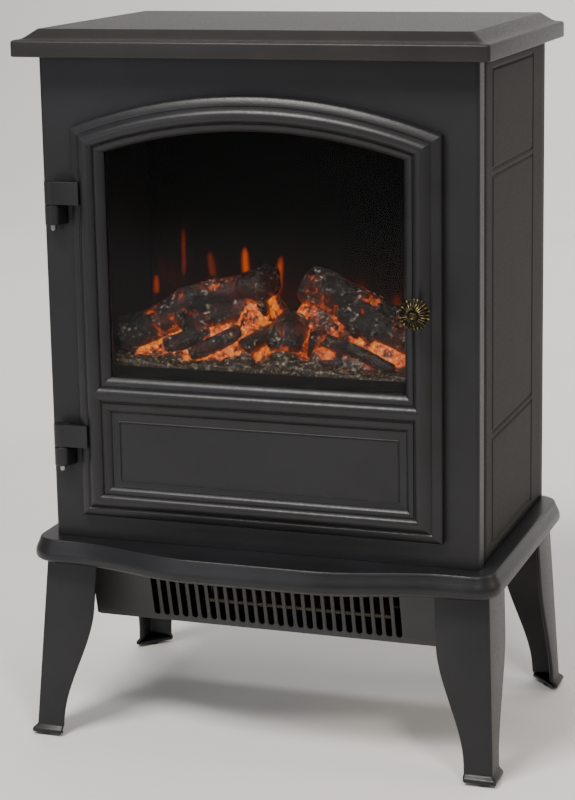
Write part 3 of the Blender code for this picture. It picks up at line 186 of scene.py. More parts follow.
def skirted(points, axis, level, values):
    """A grid closed by walls from its rim to a flat level on the axis, and by a floor there.

    Gives the points, the faces and the values, which are 0 on the skirt.
    """
    rows, columns = points.shape[:2]
    first = rows * columns
    rim = np.concatenate([np.arange(columns), np.arange(1, rows) * columns + columns - 1,
                          (rows - 1) * columns + np.arange(columns - 2, -1, -1),
                          np.arange(rows - 2, 0, -1) * columns])
    skirt = points.reshape(-1, 3)[rim].copy()
    skirt[:, axis] = level
    below = first + np.arange(len(rim))
    walls = np.stack([rim, np.roll(rim, -1), np.roll(below, -1), below], -1)
    return (np.vstack([points.reshape(-1, 3), skirt]),
            [quads(rows, columns), walls, below[None, :]],
            np.concatenate([values.ravel(), np.zeros(len(rim))]))


def turned(profile, centre, axis, sides):
    """A surface of revolution: the profile (radius, distance) turned about the axis."""
    profile = np.asarray(profile, float)
    turn = np.linspace(0, 2 * np.pi, sides, endpoint=False)
    a, b = profile[:, :1] * np.cos(turn), profile[:, :1] * np.sin(turn)
    along = np.repeat(profile[:, 1:], sides, axis=1)
    order = {"X": (along, a, b), "Y": (a, along, b), "Z": (a, b, along)}[axis]
    return np.stack(order, axis=-1) + np.asarray(centre)


def soft_step(value):
    """3t^2 - 2t^3, held between 0 and 1."""
    t = np.clip(value, 0.0, 1.0)
    return t * t * (3 - 2 * t)


def arc(centre, radius, start, end, count):
    """Points of an arc from one angle to another, in degrees."""
    turn = np.radians(np.linspace(start, end, count))
    return np.stack([centre[0] + radius * np.cos(turn), centre[1] + radius * np.sin(turn)], -1)


def flowing(points, steps=6):
    """A Catmull-Rom curve through the points, with this many steps between each two."""
    p = np.asarray(points, float)
    p = np.vstack([2 * p[0] - p[1], p, 2 * p[-1] - p[-2]])
    t = np.linspace(0, 1, steps, endpoint=False)[None, :, None]
    a, b, c, d = p[:-3, None], p[1:-2, None], p[2:-1, None], p[3:, None]
    curve = 0.5 * (2 * b + (c - a) * t + (2 * a - 5 * b + 4 * c - d) * t**2
                   + (3 * b - a - 3 * c + d) * t**3)
    return np.vstack([curve.reshape(-1, p.shape[1]), p[-2]])


LATTICE = np.random.RandomState(7).rand(32, 32, 32)


def noise(points, size, octaves=3):
    """Value noise from about -1 to 1: random numbers on cubes of this size, mixed by soft steps.

    Each octave halves the cubes and the amount.
    """
    total, weight = 0.0, 1.0
    for octave in range(octaves):
        place = np.asarray(points) / size * 2**octave + 17.3 * octave
        base = np.floor(place).astype(int)
        part = soft_step(place - base)
        value = 0.0
        for corner in np.ndindex(2, 2, 2):
            offset = np.array(corner)
            share = np.prod(np.where(offset == 1, part, 1 - part), axis=-1)
            i = (base + offset) % 32
            value = value + share * LATTICE[i[..., 0], i[..., 1], i[..., 2]]
        total = total + (value - 0.5) * weight
        weight /= 2
    return total * 2


# ---- outlines ----
def corner_arcs(half_x, low_y, high_y, radius, count):
    """The four quarter arcs of a rectangle with rounded corners, from its front right corner."""
    corners = [(half_x - radius, low_y + radius, -90), (half_x - radius, high_y - radius, 0),
               (radius - half_x, high_y - radius, 90), (radius - half_x, low_y + radius, 180)]
    return [arc((x, y), radius, turn, turn + 90, count) for x, y, turn in corners]


def rounded_rectangle(half_x, low_y, high_y, radius):
    """Seen from above: the four arcs, joined by straight sides."""
    return np.vstack(corner_arcs(half_x, low_y, high_y, radius, 7))


def arch(half, low, radius, shoulder):
    """(x, z) round an arch: the sill's ends, the right shoulder, the crown, the left shoulder."""
    spring = math.degrees(math.asin(half / radius))
    crown = arc((0.0, ARC_CENTRE), radius, 90 - spring, 90 + spring, 41)
    return np.vstack([[(-half, low), (half, low), (half, shoulder)], crown, [(-half, shoulder)]])


ARCH_CORNERS = [0, 1, 3, 43]   # the sill's two ends and the two shoulders


def base_outline(offset):
    """The base slab from above: straight sides and back, and a front that bows forward.

    The front lies at side_front - bow (1 - s), where s is the soft step from the bow's flat
    middle to its end.
    """
    low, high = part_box("base_plate")
    roll, corner, bow = 4.8 * MM, 17 * MM, 20.7 * MM
    half = high.x - roll + offset
    rear = high.y - roll + offset
    side_front = low.y + roll + bow - offset
    radius = corner + offset
    x = np.linspace(-(half - radius), half - radius, 65)[:-1]
    flat_half, run_out = 50 * MM, 108 * MM
    run = (np.abs(x) - flat_half) / run_out
    front = np.stack([x, side_front - bow * (1 - soft_step(run))], -1)
    rounds = corner_arcs(half, side_front, rear, radius, 9)
    return np.vstack([front, *rounds[:3], rounds[3][:-1]])


# ---- finishes ----
def linear(hex_colour):
    """An sRGB hex colour as the linear red, green, blue and alpha that the shaders take."""
    channels = [int(hex_colour[i : i + 2], 16) / 255 for i in (0, 2, 4)]
    return (*[c / 12.92 if c <= 0.04045 else ((c + 0.055) / 1.055) ** 2.4 for c in channels], 1.0)


def add(tree, kind, inputs=None, **settings):
    """One shader node: its settings, and for each input socket a value or a node's output."""
    made = tree.nodes.new("ShaderNode" + kind)
    for key, value in settings.items():
        setattr(made, key, value)
    for socket, value in (inputs or {}).items():
        if isinstance(value, bpy.types.NodeSocket):
            tree.links.new(value, made.inputs[socket])
        else:
            made.inputs[socket].default_value = value
    return made


def ramp(tree, factor, *stops):
    """A colour ramp: each stop is a place and an sRGB hex colour."""
    made = add(tree, "ValToRGB", {"Fac": factor})
    elements = made.color_ramp.elements
    while len(elements) < len(stops):
        elements.new(0.5)
    for element, (place, colour) in zip(elements, stops):
        element.position, element.color = place, linear(colour)
    return made.outputs["Color"]


def speckle(tree, place, size_mm, detail, roughness=0.5):
    """Noise whose features are about this many millimetres across."""
    return add(tree, "TexNoise", {"Vector": place, "Scale": 1000 / size_mm, "Detail": detail,
                                  "Roughness": roughness}).outputs["Fac"]


def spread(tree, value, low, high, start=0.0, end=1.0):
    """Moves a value from the range start to end into the range low to high."""
    return add(tree, "MapRange", {"Value": value, "From Min": start, "From Max": end,
                                  "To Min": low, "To Max": high}).outputs["Result"]


def product(tree, first, second):
    """One value times another."""
    return add(tree, "Math", {0: first, 1: second}, operation="MULTIPLY").outputs[0]


def attribute(tree, name):
    """A value that the mesh carries at its points."""
    return add(tree, "Attribute", attribute_name=name).outputs["Fac"]


def bump(tree, shader, height, depth_mm, strength=1.0, sockets=("Normal",)):
    """Bumps the shader's normals by the height."""
    made = add(tree, "Bump", {"Height": height, "Strength": strength, "Distance": depth_mm * MM})
    for socket in sockets:
        tree.links.new(made.outputs["Normal"], shader.inputs[socket])


def colour_by(tree, shader, factor, *stops, socket="Base Color"):
    """Colours the shader by a ramp of the factor."""
    tree.links.new(ramp(tree, factor, *stops), shader.inputs[socket])


def surface(name, colour, roughness, metallic=0.0, **sockets):
    """A new material: its node tree, its Principled shader and its Object coordinates."""
    made = bpy.data.materials.new(name)
    made.use_nodes = True
    tree = made.node_tree
    shader = tree.nodes["Principled BSDF"]
    shader.inputs["Base Color"].default_value = linear(colour)
    shader.inputs["Roughness"].default_value = roughness
    shader.inputs["Metallic"].default_value = metallic
    for socket, value in sockets.items():
        shader.inputs[socket.replace("_", " ")].default_value = value
    return made, tree, shader, add(tree, "TexCoord").outputs["Object"]


def textured(name, dark, light, rough, grain_mm, depth_mm, mottle_mm=40.0, metallic=0.0,
             stretch=(1.0, 1.0, 1.0), **sockets):
    """A finish with a grain that bumps it, and a broad mottle of its colour and roughness."""
    made, tree, shader, place = surface(name, dark, rough[0], metallic, **sockets)
    place = add(tree, "Mapping", {"Vector": place, "Scale": stretch}).outputs[0]
    colour_by(tree, shader, speckle(tree, place, mottle_mm, 3.0), (0.3, dark), (0.7, light))
    grain = speckle(tree, place, grain_mm, 2.0, 0.6)
    tree.links.new(spread(tree, grain, *rough, 0.3, 0.7), shader.inputs["Roughness"])
    bump(tree, shader, grain, depth_mm)
    return made


# The coats: dark and light colour, roughness from and to, grain and its depth in mm, and the
# specular level.
COATS = {
    # Polyester powder coat on steel sheet, sprayed and baked: satin, with orange peel. The peel's
    # waves are 1 to 2 mm across on the real coat; here 2 mm, so that they show.
    "satin_powder_coat": ("1a1a1c", "1e1e21", (0.38, 0.50), 2.0, 0.06, 0.35),
    # The same coat on the sides, fine-textured: more matt, as the sheet is pressed after it.
    # Its colour is a touch warmer than the front's: painted warm light, for the side lit from the
    # right.
    "matt_side_coat_warm_lit": ("1b1a18", "201f1d", (0.60, 0.70), 1.4, 0.06, 0.22),
    # Glass-filled nylon, injection moulded and painted: satin, with a fine spark grain.
    "satin_moulded_nylon": ("1a1a1c", "202023", (0.30, 0.42), 1.6, 0.08, 0.35),
    # The same moulding on the top slab, more matt; its lighter, warmer colour is painted overhead
    # light.
    "satin_moulded_top_lit": ("1f1d1c", "252321", (0.36, 0.50), 1.6, 0.07, 0.35),
    # Die-cast zinc, powder coated with the door: a little smoother than the sheet.
    "coated_zinc_casting": ("1a1a1c", "1f1f22", (0.32, 0.44), 1.8, 0.05, 0.35),
}


def coated(name):
    """One of the coats."""
    *look, level = COATS[name]
    return textured(name, *look, Specular_IOR_Level=level)


def antique_brass():
    """Cast brass, blackened in its hollows and rubbed bright on its high edges."""
    made, tree, shader, place = surface("antique_brass", "2b2620", 0.32, 0.9)
    patches = speckle(tree, place, 3.0, 3.0)
    worn = product(tree, attribute(tree, "high"), patches)
    colour_by(tree, shader, worn, (0.25, "1d1a15"), (0.42, "4a4029"), (0.62, "cdbd84"))
    bump(tree, shader, patches, 0.1, 0.5)
    return made


def smoked_glass():
    """Toughened float glass with a dark film: it lets through about two thirds of the light."""
    made, tree, shader, place = surface("smoked_glass", "030303", 0.03, Alpha=0.3,
                                        Specular_IOR_Level=0.3)
    haze = speckle(tree, place, 60.0, 2.0)
    tree.links.new(spread(tree, haze, 0.02, 0.06), shader.inputs["Roughness"])
    return made


def painted_resin_log():
    """Cast polyester resin logs, painted black and brown, varnished, and lit from below.

    Where the paint is thin the resin glows; small white glints on the bark are painted highlights.
    """
    made, tree, shader, place = surface("painted_resin_log", "120f0d", 0.22, Coat_Weight=1.0,
                                        Coat_Roughness=0.1)
    fine = speckle(tree, place, 3.2, 4.0, 0.7)
    bark_tone_and_painted_glints = product(tree, fine, speckle(tree, place, 9.0, 5.0, 0.65))
    # The black and brown stops are the bark's own tone; the near-white top stop paints the
    # varnish's glints: painted highlights.
    colour_by(tree, shader, bark_tone_and_painted_glints, (0.16, "090807"), (0.26, "241b14"), (0.33, "5a4a38"),
              (0.38, "e0dccb"))
    bump(tree, shader, fine, 1.6, sockets=("Normal", "Coat Normal"))
    glow_from(tree, shader, place, 5.0, 1.1)
    return made


def glowing_ash():
    """The bed between the logs: translucent resin, dusted with grey ash where it is thick."""
    made, tree, shader, place = surface("glowing_ash", "4a3f33", 0.55, Coat_Weight=0.3,
                                        Coat_Roughness=0.2)
    dust = speckle(tree, place, 3.0, 5.0, 0.7)
    colour_by(tree, shader, dust, (0.38, "0d0a07"), (0.5, "4a3826"), (0.57, "7d6a50"),
              (0.64, "d8d0ba"))
    bump(tree, shader, dust, 0.9)
    glow_from(tree, shader, place, 6.0, 1.5)
    return made


def glow_from(tree, shader, place, patch_mm, strength):
    """Light through the resin: the piece's "glow" value, broken up by patches of paint."""
    patches = speckle(tree, place, patch_mm, 4.0, 0.6)
    amount = product(tree, attribute(tree, "glow"), spread(tree, patches, 0.05, 1.15, 0.36, 0.62))
    colour_by(tree, shader, amount, (0.0, "000000"), (0.25, "5c1602"), (0.6, "ee5a00"),
              (1.0, "ff8c1a"), socket="Emission Color")
    shader.inputs["Emission Strength"].default_value = strength


def flame_film():
    """Dark acrylic with a mirror film; the flames are the spindle's light thrown on it."""
    made, tree, shader, place = surface("flame_film", "070606", 0.6, Specular_IOR_Level=0.15)
    haze = spread(tree, speckle(tree, place, 14.0, 2.0), 0.75, 1.2)
    amount = product(tree, attribute(tree, "firelight"), haze)
    colour_by(tree, shader, amount, (0.0, "000000"), (0.12, "300f02"), (0.5, "a83806"),
              (1.0, "ff6c10"), socket="Emission Color")
    shader.inputs["Emission Strength"].default_value = 1.15
    return made


# ---- cabinet ----
def make_top_slab(finish):
    """The top's moulded slab: its section (inset, height) carried round the plan's outline.

    The section is an upright rim with a round shoulder, a cove, a slope and a flat.
    """
    low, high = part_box("top_plate")
    pocket, roof = 28, 18.5
    section = [(pocket, roof), (pocket, 0.4), (pocket - 0.4, 0), (1.2, 0)]
    section += (arc((1.0, 1.0), 1.0, 270, 180, 4)).tolist()
    section += (arc((2.2, 10.8), 2.2, 180, 90, 9)).tolist()
    section += flowing([(2.8, 13.04), (4.8, 13.3), (6.8, 14.0), (8.8, 15.2), (11.2, 17.0),
                        (13.6, 18.9), (15.4, 20.2)], 4).tolist()
    section += [(16.0, 20.75), (16.8, 20.98), (18.0, 21.0)]
    section = np.array(section) * MM
    rings = outline_rings([rounded_rectangle(high.x - inset, low.y + inset, high.y - inset, 3 * MM)
                           for inset in section[:, 0]], low.z + section[:, 1])
    return piece("top_slab", rings, capped(rings), finish, "cabinet", "moulded_charcoal",
                 ["top_plate"], sharp=40)


def make_base_slab(finish):
    """The base's slab: its section (offset from the ridge, height) round the bowed outline.

    The section rises from a lower lip, out to a bullnose, and back up to a fine round ridge.
    """
    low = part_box("base_plate")[0]
    edge = flowing([(-3.6, 0.5), (-2.6, 1.0), (0.2, 2.0), (2.8, 3.2), (4.3, 4.7), (4.8, 6.6),
                    (4.8, 8.8), (4.4, 10.9), (3.5, 13.2), (2.3, 15.8), (1.3, 18.2), (0.9, 19.4)],
                   4)
    ridge = arc((-0.9, 19.5), 1.5, 15, 90, 6)
    section = np.vstack([[(-6.5, 18.5), (-6.5, 0.3), (-6.2, 0.0), (-4.3, 0.0), (-4.0, 0.2)], edge,
                         ridge, [(-2.4, 21.0), (-4.0, 21.0)]]) * MM
    rings = outline_rings([base_outline(offset) for offset in section[:, 0]],
                          low.z + section[:, 1])
    return piece("base_slab", rings, capped(rings), finish, "cabinet", "moulded_charcoal",
                 ["base_plate"], sharp=40)


def carve(thing, *cutters):
    """Cuts closed solids out of a piece, and leaves plain geometry behind."""
    for cutter in cutters:
        modifier = thing.modifiers.new("cut", "BOOLEAN")
        modifier.operation, modifier.solver, modifier.object = "DIFFERENCE", "EXACT", cutter
    ready = thing.evaluated_get(bpy.context.evaluated_depsgraph_get())
    mesh = bpy.data.meshes.new_from_object(ready)
    thing.modifiers.clear()
    thing.data = mesh
    for cutter in cutters:
        bpy.data.objects.remove(cutter)
    smooth(mesh)


def cutter(rings):
    """A closed solid that only cuts."""
    mesh = from_arrays("cutter", rings, capped(rings))
    reworked(mesh, lambda work: bmesh.ops.recalc_face_normals(work, faces=work.faces))
    return in_scene("cutter", mesh)


def block(low, high):
    """A plain box as two rings of four points."""
    flat = [(low[0], low[1]), (high[0], low[1]), (high[0], high[1]), (low[0], high[1])]
    return outline_rings([flat, flat], [low[2], high[2]])


def make_fascia_skin(finish):
    """The cabinet's front sheet, folded back at both sides: a U section carried up the cabinet.

    The folds are quarter circles, and a support line beside each keeps the flat face flat.
    """
    fold, sheet, reach = 3 * MM, 2 * MM, 15 * MM
    half, front = BODY_HALF, BODY_FRONT
    outer = np.vstack([[(half, front + reach), (half, front + fold + MM)],
                       arc((half - fold, front + fold), fold, 0, -90, 9),
                       [(half - fold - MM, front)]])
    inner = np.vstack([[(half - fold - MM, front + sheet)],
                       arc((half - fold, front + fold), fold - sheet, -90, 0, 5),
                       [(half - sheet, front + fold + MM), (half - sheet, front + reach)]])
    mirror = np.array([-1.0, 1.0])
    plan = np.vstack([outer, outer[::-1] * mirror, inner[::-1] * mirror, inner])
    rings = outline_rings([plan, plan], [BODY_LOW, BODY_TOP])
    skin = piece("fascia_skin", rings, capped(rings), finish, "cabinet", "painted_steel",
                 ["fascia"])
    deep = (front - 5 * MM, front + 5 * MM)
    lap, sill_lap, side_point, slack = 9 * MM, 6.6 * MM, 0.40, 0.3 * MM
    window = arch(OPENING_HALF + lap, OPENING_LOW - sill_lap, OPENING_RADIUS + lap, side_point)
    catch_low, catch_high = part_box("magnet_catch")
    strike_low, strike_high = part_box("strike_plate")
    control_low, control_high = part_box("control_panel")
    flange = 5 * MM
    carve(skin, cutter(outline_rings([window, window], deep, axis=1)),
          cutter(block((strike_low.x - slack, deep[0], catch_low.z - slack),
                       (strike_high.x + slack, deep[1], catch_high.z + slack))),
          cutter(block((control_low.x + flange, deep[0], control_low.z + flange),
                       (control_high.x - flange, deep[1], control_high.z - flange))))
    return skin


def fine_lines(low, high, coarse, stops, reach, fine):
    """Grid lines: evenly spaced, and close together round each stop."""
    lines = [np.linspace(low, high, max(2, int((high - low) / coarse) + 1))]
    lines += [np.linspace(s - reach, s + reach, fine) for s in stops]
    return np.unique(np.round(np.clip(np.concatenate(lines), low, high), 6))


def make_side_skin(side, label, finish):
    """A cabinet side with three panels outlined by pressed grooves.

    The sheet sinks by depth * exp(-(d / width)^2), d the distance to the nearest panel outline.
    """
    start, end = BODY_FRONT + 15.15 * MM, BODY_BACK
    reach = 42 * MM
    near, far = BODY_FRONT + reach, BODY_BACK - reach
    top, low = BODY_TOP - 10 * MM, BODY_LOW + 9 * MM
    spans = [(top - 75.5 * MM, top), (low + 90.5 * MM, top - 81 * MM), (low, low + 85 * MM)]
    y = fine_lines(start, end, 9 * MM, [near, far], 4 * MM, 17)
    z = fine_lines(BODY_LOW, BODY_TOP, 12 * MM, [edge for span in spans for edge in span],
                   4 * MM, 17)
    y, z = np.meshgrid(y, z)
    distance = np.full(y.shape, 1.0)
    for span_low, span_high in spans:
        away_y = np.abs(y - (near + far) / 2) - (far - near) / 2
        away_z = np.abs(z - (span_low + span_high) / 2) - (span_high - span_low) / 2
        outside = np.hypot(np.maximum(away_y, 0), np.maximum(away_z, 0))
        inside = np.minimum(np.maximum(away_y, away_z), 0)
        distance = np.minimum(distance, np.abs(outside + inside))
    depth, width = 1.3 * MM, 1.15 * MM
    sink = depth * np.exp(-(distance / width) ** 2)
    points = np.stack([side * (BODY_HALF - sink), y, z], -1)
    skin = piece(f"side_skin_{label}", points, [quads(*y.shape)], finish, "cabinet",
                 "painted_steel", [f"side_panel_{label}"], sharp=60)
    face_out(skin, Vector((side, 0, 0)))
    thicken(skin, 2 * MM)
    return skin


def face_out(thing, direction):
    """Turns an open sheet so that its faces look along the direction."""
    def turn(work):
        total = sum((face.normal * face.calc_area() for face in work.faces), Vector())
        if total.dot(direction) < 0:
            bmesh.ops.reverse_faces(work, faces=work.faces)

    reworked(thing.data, turn)


def thicken(thing, wall):
    """Gives an open sheet its wall, behind its face."""
    modifier = thing.modifiers.new("wall", "SOLIDIFY")
    modifier.thickness, modifier.offset = wall, -1.0


def soften(thing, width, segments=2, angle=35.0):
    """Rounds a piece's edges."""
    modifier = thing.modifiers.new("rounded_edges", "BEVEL")
    modifier.width, modifier.segments = width, segments
    modifier.limit_method, modifier.angle_limit = "ANGLE", math.radians(angle)
    modifier.use_clamp_overlap = True


def softened(node, name, width, finish, body, slot, segments=2):
    """A frame node's own shape, merged into clean faces, with its edges rounded."""
    def clean(work):
        bmesh.ops.remove_doubles(work, verts=work.verts, dist=MERGE)
        bmesh.ops.dissolve_limit(work, angle_limit=math.radians(1.0), verts=work.verts,
                                 edges=work.edges)

    mesh = bpy.data.meshes.new(name)
    reworked(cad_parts[node].data, clean, mesh)
    smooth(mesh)
    mesh.materials.append(finish)
    thing = in_scene(name, mesh)
    soften(thing, width, segments)
    return stands(thing, body, slot, node)


# ---- legs ----
def make_leg(front, side, label, finish):
    """A cast-look leg: an L section that tapers, splays and flares into a small foot.

    The section is four arcs: round plate ends, a round corner and a fillet inside. Its corner and
    the widths of its plates are functions of the height, so it is a surface of (round, height).
    """
    place = "front" if front else "rear"
    low_box, high_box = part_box(f"leg_{place}_right")
    direction = 1.0 if front else -1.0
    low, top = low_box.z, high_box.z
    wall, corner, fillet = 3.4 * MM, 1.6 * MM, 2.5 * MM
    ankle, widening, toe = 23.5 * MM, 20.5 * MM, 3.2 * MM
    top_inset, lean = 10.7 * MM, 7.5 * MM
    side_top = (51 if front else 44) * MM
    splay = (18 if front else 10) * MM
    z = np.concatenate([low + 3 * MM * (1 - np.cos(np.linspace(0, np.pi / 2, 7))),
                        np.linspace(low + 3.6 * MM, low + 12 * MM, 14),
                        np.linspace(low + 14 * MM, top, 44)])
    fall = (top - z) / top
    rise_from, rise_run = 15 * MM, 93 * MM
    rise = soft_step((z - rise_from) / rise_run)
    flare = toe * (1 - soft_step((z - low - 2.4 * MM) / (4.6 * MM)))
    round_in = 1.3 * MM * (1 - np.sqrt(1 - np.clip(1 - (z - low) / (1.6 * MM), 0, 1) ** 2))
    outer_x = high_box.x - top_inset + lean * fall + flare
    foot_y = low_box.y if front else high_box.y
    outer_y = foot_y + direction * (splay * (1 - fall) + toe - flare)
    face = ankle + flare + widening * rise
    reach = ankle + flare + (side_top - ankle) * rise

    def swing(centre_x, centre_y, radius, start, end, count):
        turn = np.radians(np.linspace(start, end, count))[None, :]
        radius = np.maximum(radius - round_in, 0.2 * MM)[:, None]
        return (np.reshape(centre_x, (-1, 1)) + radius * np.cos(turn),
                np.reshape(centre_y, (-1, 1)) + radius * np.sin(turn))

    end_radius = wall / 2
    parts = [swing(-face + end_radius, end_radius, end_radius, 90, 270, 7),
             swing(-corner, corner, corner, 270, 360, 6),
             swing(-end_radius, reach - end_radius, end_radius, 0, 180, 7)]
    turn = np.radians(np.linspace(0, -90, 7))[None, :]
    inner_x = np.repeat(-wall - fillet + fillet * np.cos(turn), len(z), axis=0)
    inner_y = np.repeat(wall + fillet + fillet * np.sin(turn), len(z), axis=0)
    share = np.linspace(0, 1, 7)[None, :]
    chord_x = -wall + (wall - face[:, None]) * share
    chord_y = reach[:, None] + (wall - reach[:, None]) * share
    sole = 1 - soft_step((z[:, None] - low - 2.6 * MM) / (1.0 * MM))
    inner = (inner_x + (chord_x - inner_x) * sole, inner_y + (chord_y - inner_y) * sole)
    local = [np.concatenate([part[axis] for part in (*parts, inner)], axis=1) for axis in (0, 1)]
    x = side * (outer_x[:, None] + local[0])
    y = outer_y[:, None] + direction * local[1]
    points = np.stack([x, y, np.repeat(z[:, None], x.shape[1], axis=1)], -1)
    return piece(f"cast_leg_{place}_{label}", points, capped(points), finish, "cabinet",
                 "moulded_charcoal", [f"leg_{place}_{label}"], sharp=50)


# ---- door ----
OUTER_SECTION = np.vstack([
    [(0.0, 1.0), (0.0, 5.0)],
    flowing([(0.0, 5.2), (0.5, 6.5), (1.6, 7.5), (3.6, 8.6), (5.8, 9.5), (7.2, 9.85)], 3),
    [(7.5, 9.6), (7.9, 9.35), (8.4, 9.45)],
    flowing([(8.7, 9.8), (9.8, 10.9), (11.2, 12.1), (13.0, 13.05), (14.4, 13.4), (15.5, 13.5)], 3),
])
WINDOW_SECTION = np.vstack([
    flowing([(0.0, 13.5), (1.6, 13.3), (3.2, 12.5), (4.6, 11.2), (5.4, 9.9)], 3),
    [(5.6, 9.3), (6.0, 9.2), (6.4, 9.6)],
    flowing([(6.6, 9.9), (8.0, 9.9), (9.6, 9.4), (11.2, 8.4), (12.5, 7.2), (13.3, 6.2)], 3),
    [(13.5, 5.9), (13.5, 5.5)],
])
PANEL_SECTION = np.vstack([
    flowing([(0.0, 13.5), (1.6, 13.3), (3.2, 12.6), (4.6, 11.4), (5.4, 10.3)], 3),
    [(5.6, 9.7), (6.0, 9.6), (6.4, 10.0)],
    flowing([(6.6, 10.3), (8.0, 10.3), (9.6, 9.8), (11.0, 8.9), (12.2, 7.8), (12.8, 6.9)], 3),
    [(13.0, 6.6), (13.4, 6.5), (18.6, 6.4), (19.0, 6.9), (19.4, 6.9), (19.8, 6.1), (20.0, 5.9)],
])


def mixed(outer, inner, section):
    """Rings from one outline to another: each point is the mix of its two ends by the section."""
    share = section[:, 0] / section[-1, 0]
    depth = BODY_FRONT - section[:, 1] * MM
    flat = outer[None] + (inner - outer)[None] * share[:, None, None]
    return np.stack([flat[..., 0], np.repeat(depth[:, None], flat.shape[1], 1), flat[..., 1]], -1)


def make_door_moulding(finish):
    """The door: three mouldings that share their crests, each a section carried round an outline.

    The outer one runs round the arched door, the window one from the crest in to the glass, and
    the panel one from the crest in to the sunk panel. Behind are the pane's rebate and the back.
    """
    def door_arch(inset):
        return arch(DOOR_HALF - inset, DOOR_LOW + inset, DOOR_RADIUS - inset, RAIL_CREST)

    def opening(grow):
        return arch(OPENING_HALF + grow, OPENING_LOW - grow, OPENING_RADIUS + grow,
                    OPENING_LOW - grow)

    def rectangle(half, low, high):
        return np.array([(-half, low), (half, low), (half, high), (-half, high)])

    crest_half = DOOR_HALF - CREST
    outer = outline_rings([door_arch(inset * MM) for inset in OUTER_SECTION[:, 0]],
                          BODY_FRONT - OUTER_SECTION[:, 1] * MM, axis=1)
    crest = arch(crest_half, RAIL_CREST, DOOR_RADIUS - CREST, RAIL_CREST)
    window = mixed(crest, opening(0.0), WINDOW_SECTION)
    rebate = BODY_FRONT - 5.5 * MM
    behind = outline_rings([opening(REBATE), opening(REBATE)], [rebate, DOOR_BACK], axis=1)
    panel = mixed(rectangle(crest_half, DOOR_LOW + CREST, RAIL_CREST),
                  rectangle(PANEL_HALF, PANEL_LOW, PANEL_HIGH), PANEL_SECTION)
    middle = panel[-1].mean(axis=0)
    support = 0.97      # a ring just inside the panel's edge, as a share of its size
    floor = np.array([1, 0, 1]) * (panel[-1] - middle) * support + middle
    back = np.stack([behind[-1], outer[0]])
    blocks, faces, count = [], [], 0
    for rings in (outer, np.concatenate([window, behind]), np.concatenate([panel, floor[None]]),
                  back):
        blocks.append(rings.reshape(-1, 3))
        faces.append(quads(*rings.shape[:2], wrap_columns=True) + count)
        count += len(blocks[-1])
        if len(rings[0]) == 4:
            faces.append(np.arange(count - 4, count)[None, :])
    corners = ((outer, ARCH_CORNERS), (window, ARCH_CORNERS), (panel, range(4)))
    mitres = [rings[:, column] for rings, columns in corners for column in columns]
    door = piece("door_moulding", np.vstack(blocks), faces, finish, "door", "painted_steel",
                 ["door_frame"], sharp=28, creases=mitres)
    strike_low, strike_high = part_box("strike_plate")
    screw_low, screw_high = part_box("knob_screw")
    seat_x, seat_z = (screw_low.x + screw_high.x) / 2, (screw_low.z + screw_high.z) / 2
    seat_radius, seat_depth, past = 4.1 * MM, 2.6 * MM, 5 * MM
    seat = turned([(seat_radius, -seat_depth), (seat_radius, past)], (seat_x, DOOR_BACK, seat_z),
                  "Y", 24)
    slack = 0.5 * MM
    pocket = block((strike_low.x - slack, strike_low.y - 0.3 * MM, strike_low.z - slack),
                   (strike_high.x + slack, DOOR_BACK + past, strike_high.z + slack))
    carve(door, cutter(seat), cutter(pocket))
    sharpen(door.data, mitres)
    return door


def make_rosette_knob(finish):
    """The pull: a domed rosette of 24 petals on a necked stem, with a beaded rim and a boss.

    With wave = |cos(12 turn)|, the rim's radius is scaled by 1 + bead (wave - 1), and the dome's
    depth grows by petal (1 - wave). The "high" value, where the brass is rubbed, follows the wave.
    """
    low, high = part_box("knob")
    centre = ((low.x + high.x) / 2, DOOR_FRONT, (low.z + high.z) / 2)
    radius = (high.x - low.x) / 2
    r = radius / MM
    stem = flowing([(5.9, 0.0), (5.8, -1.2), (5.0, -2.4), (4.4, -4.4), (4.3, -7.0), (4.9, -9.4),
                    (7.2, -11.4), (10.2, -12.8), (r - 0.5, -13.9)], 4)
    rim = flowing([(r - 0.2, -14.4), (r, -15.4), (r - 0.3, -16.4), (r - 1.1, -16.9),
                   (r - 1.9, -16.5)], 4)
    dome = flowing([(r - 2.2, -16.7), (8.3, -18.4), (6.2, -19.6), (4.6, -20.2)], 7)
    boss = flowing([(4.2, -19.9), (4.15, -21.2), (3.6, -23.2), (2.4, -24.6), (0.9, -25.15),
                    (0.05, -25.2)], 4)
    profile = np.vstack([stem, rim, dome, boss])
    petals = 24
    turn = np.linspace(0, 2 * np.pi, petals * 10, endpoint=False)
    counts = [len(stem), len(rim), len(dome), len(boss)]
    bead = np.repeat([0, 0.035, 0, 0], counts)
    petal = np.repeat([0.0, 1.0, 0.0], [counts[0] + counts[1], counts[2], counts[3]])
    petal[petal > 0] = 0.75 * np.sin(np.linspace(0.25, np.pi - 0.3, counts[2]))
    wave = np.abs(np.cos(petals / 2 * turn))[None, :]
    radial = profile[:, :1] * MM * (1 + bead[:, None] * (wave - 1))
    depth = profile[:, 1:] * MM + petal[:, None] * MM * (1 - wave)
    points = np.stack([radial * np.cos(turn), depth + 0 * turn, radial * np.sin(turn)], -1)
    points = points + np.array(centre)
    shine = np.repeat([0.3, 0.9, 0.85, 0.8], counts)
    high_places = shine[:, None] * (0.25 + 0.75 * wave ** 2) * np.ones_like(radial)
    return piece("rosette_knob", points, capped(points), finish, "door", "antique_brass",
                 ["knob"], sharp=70, values={"high": high_places})


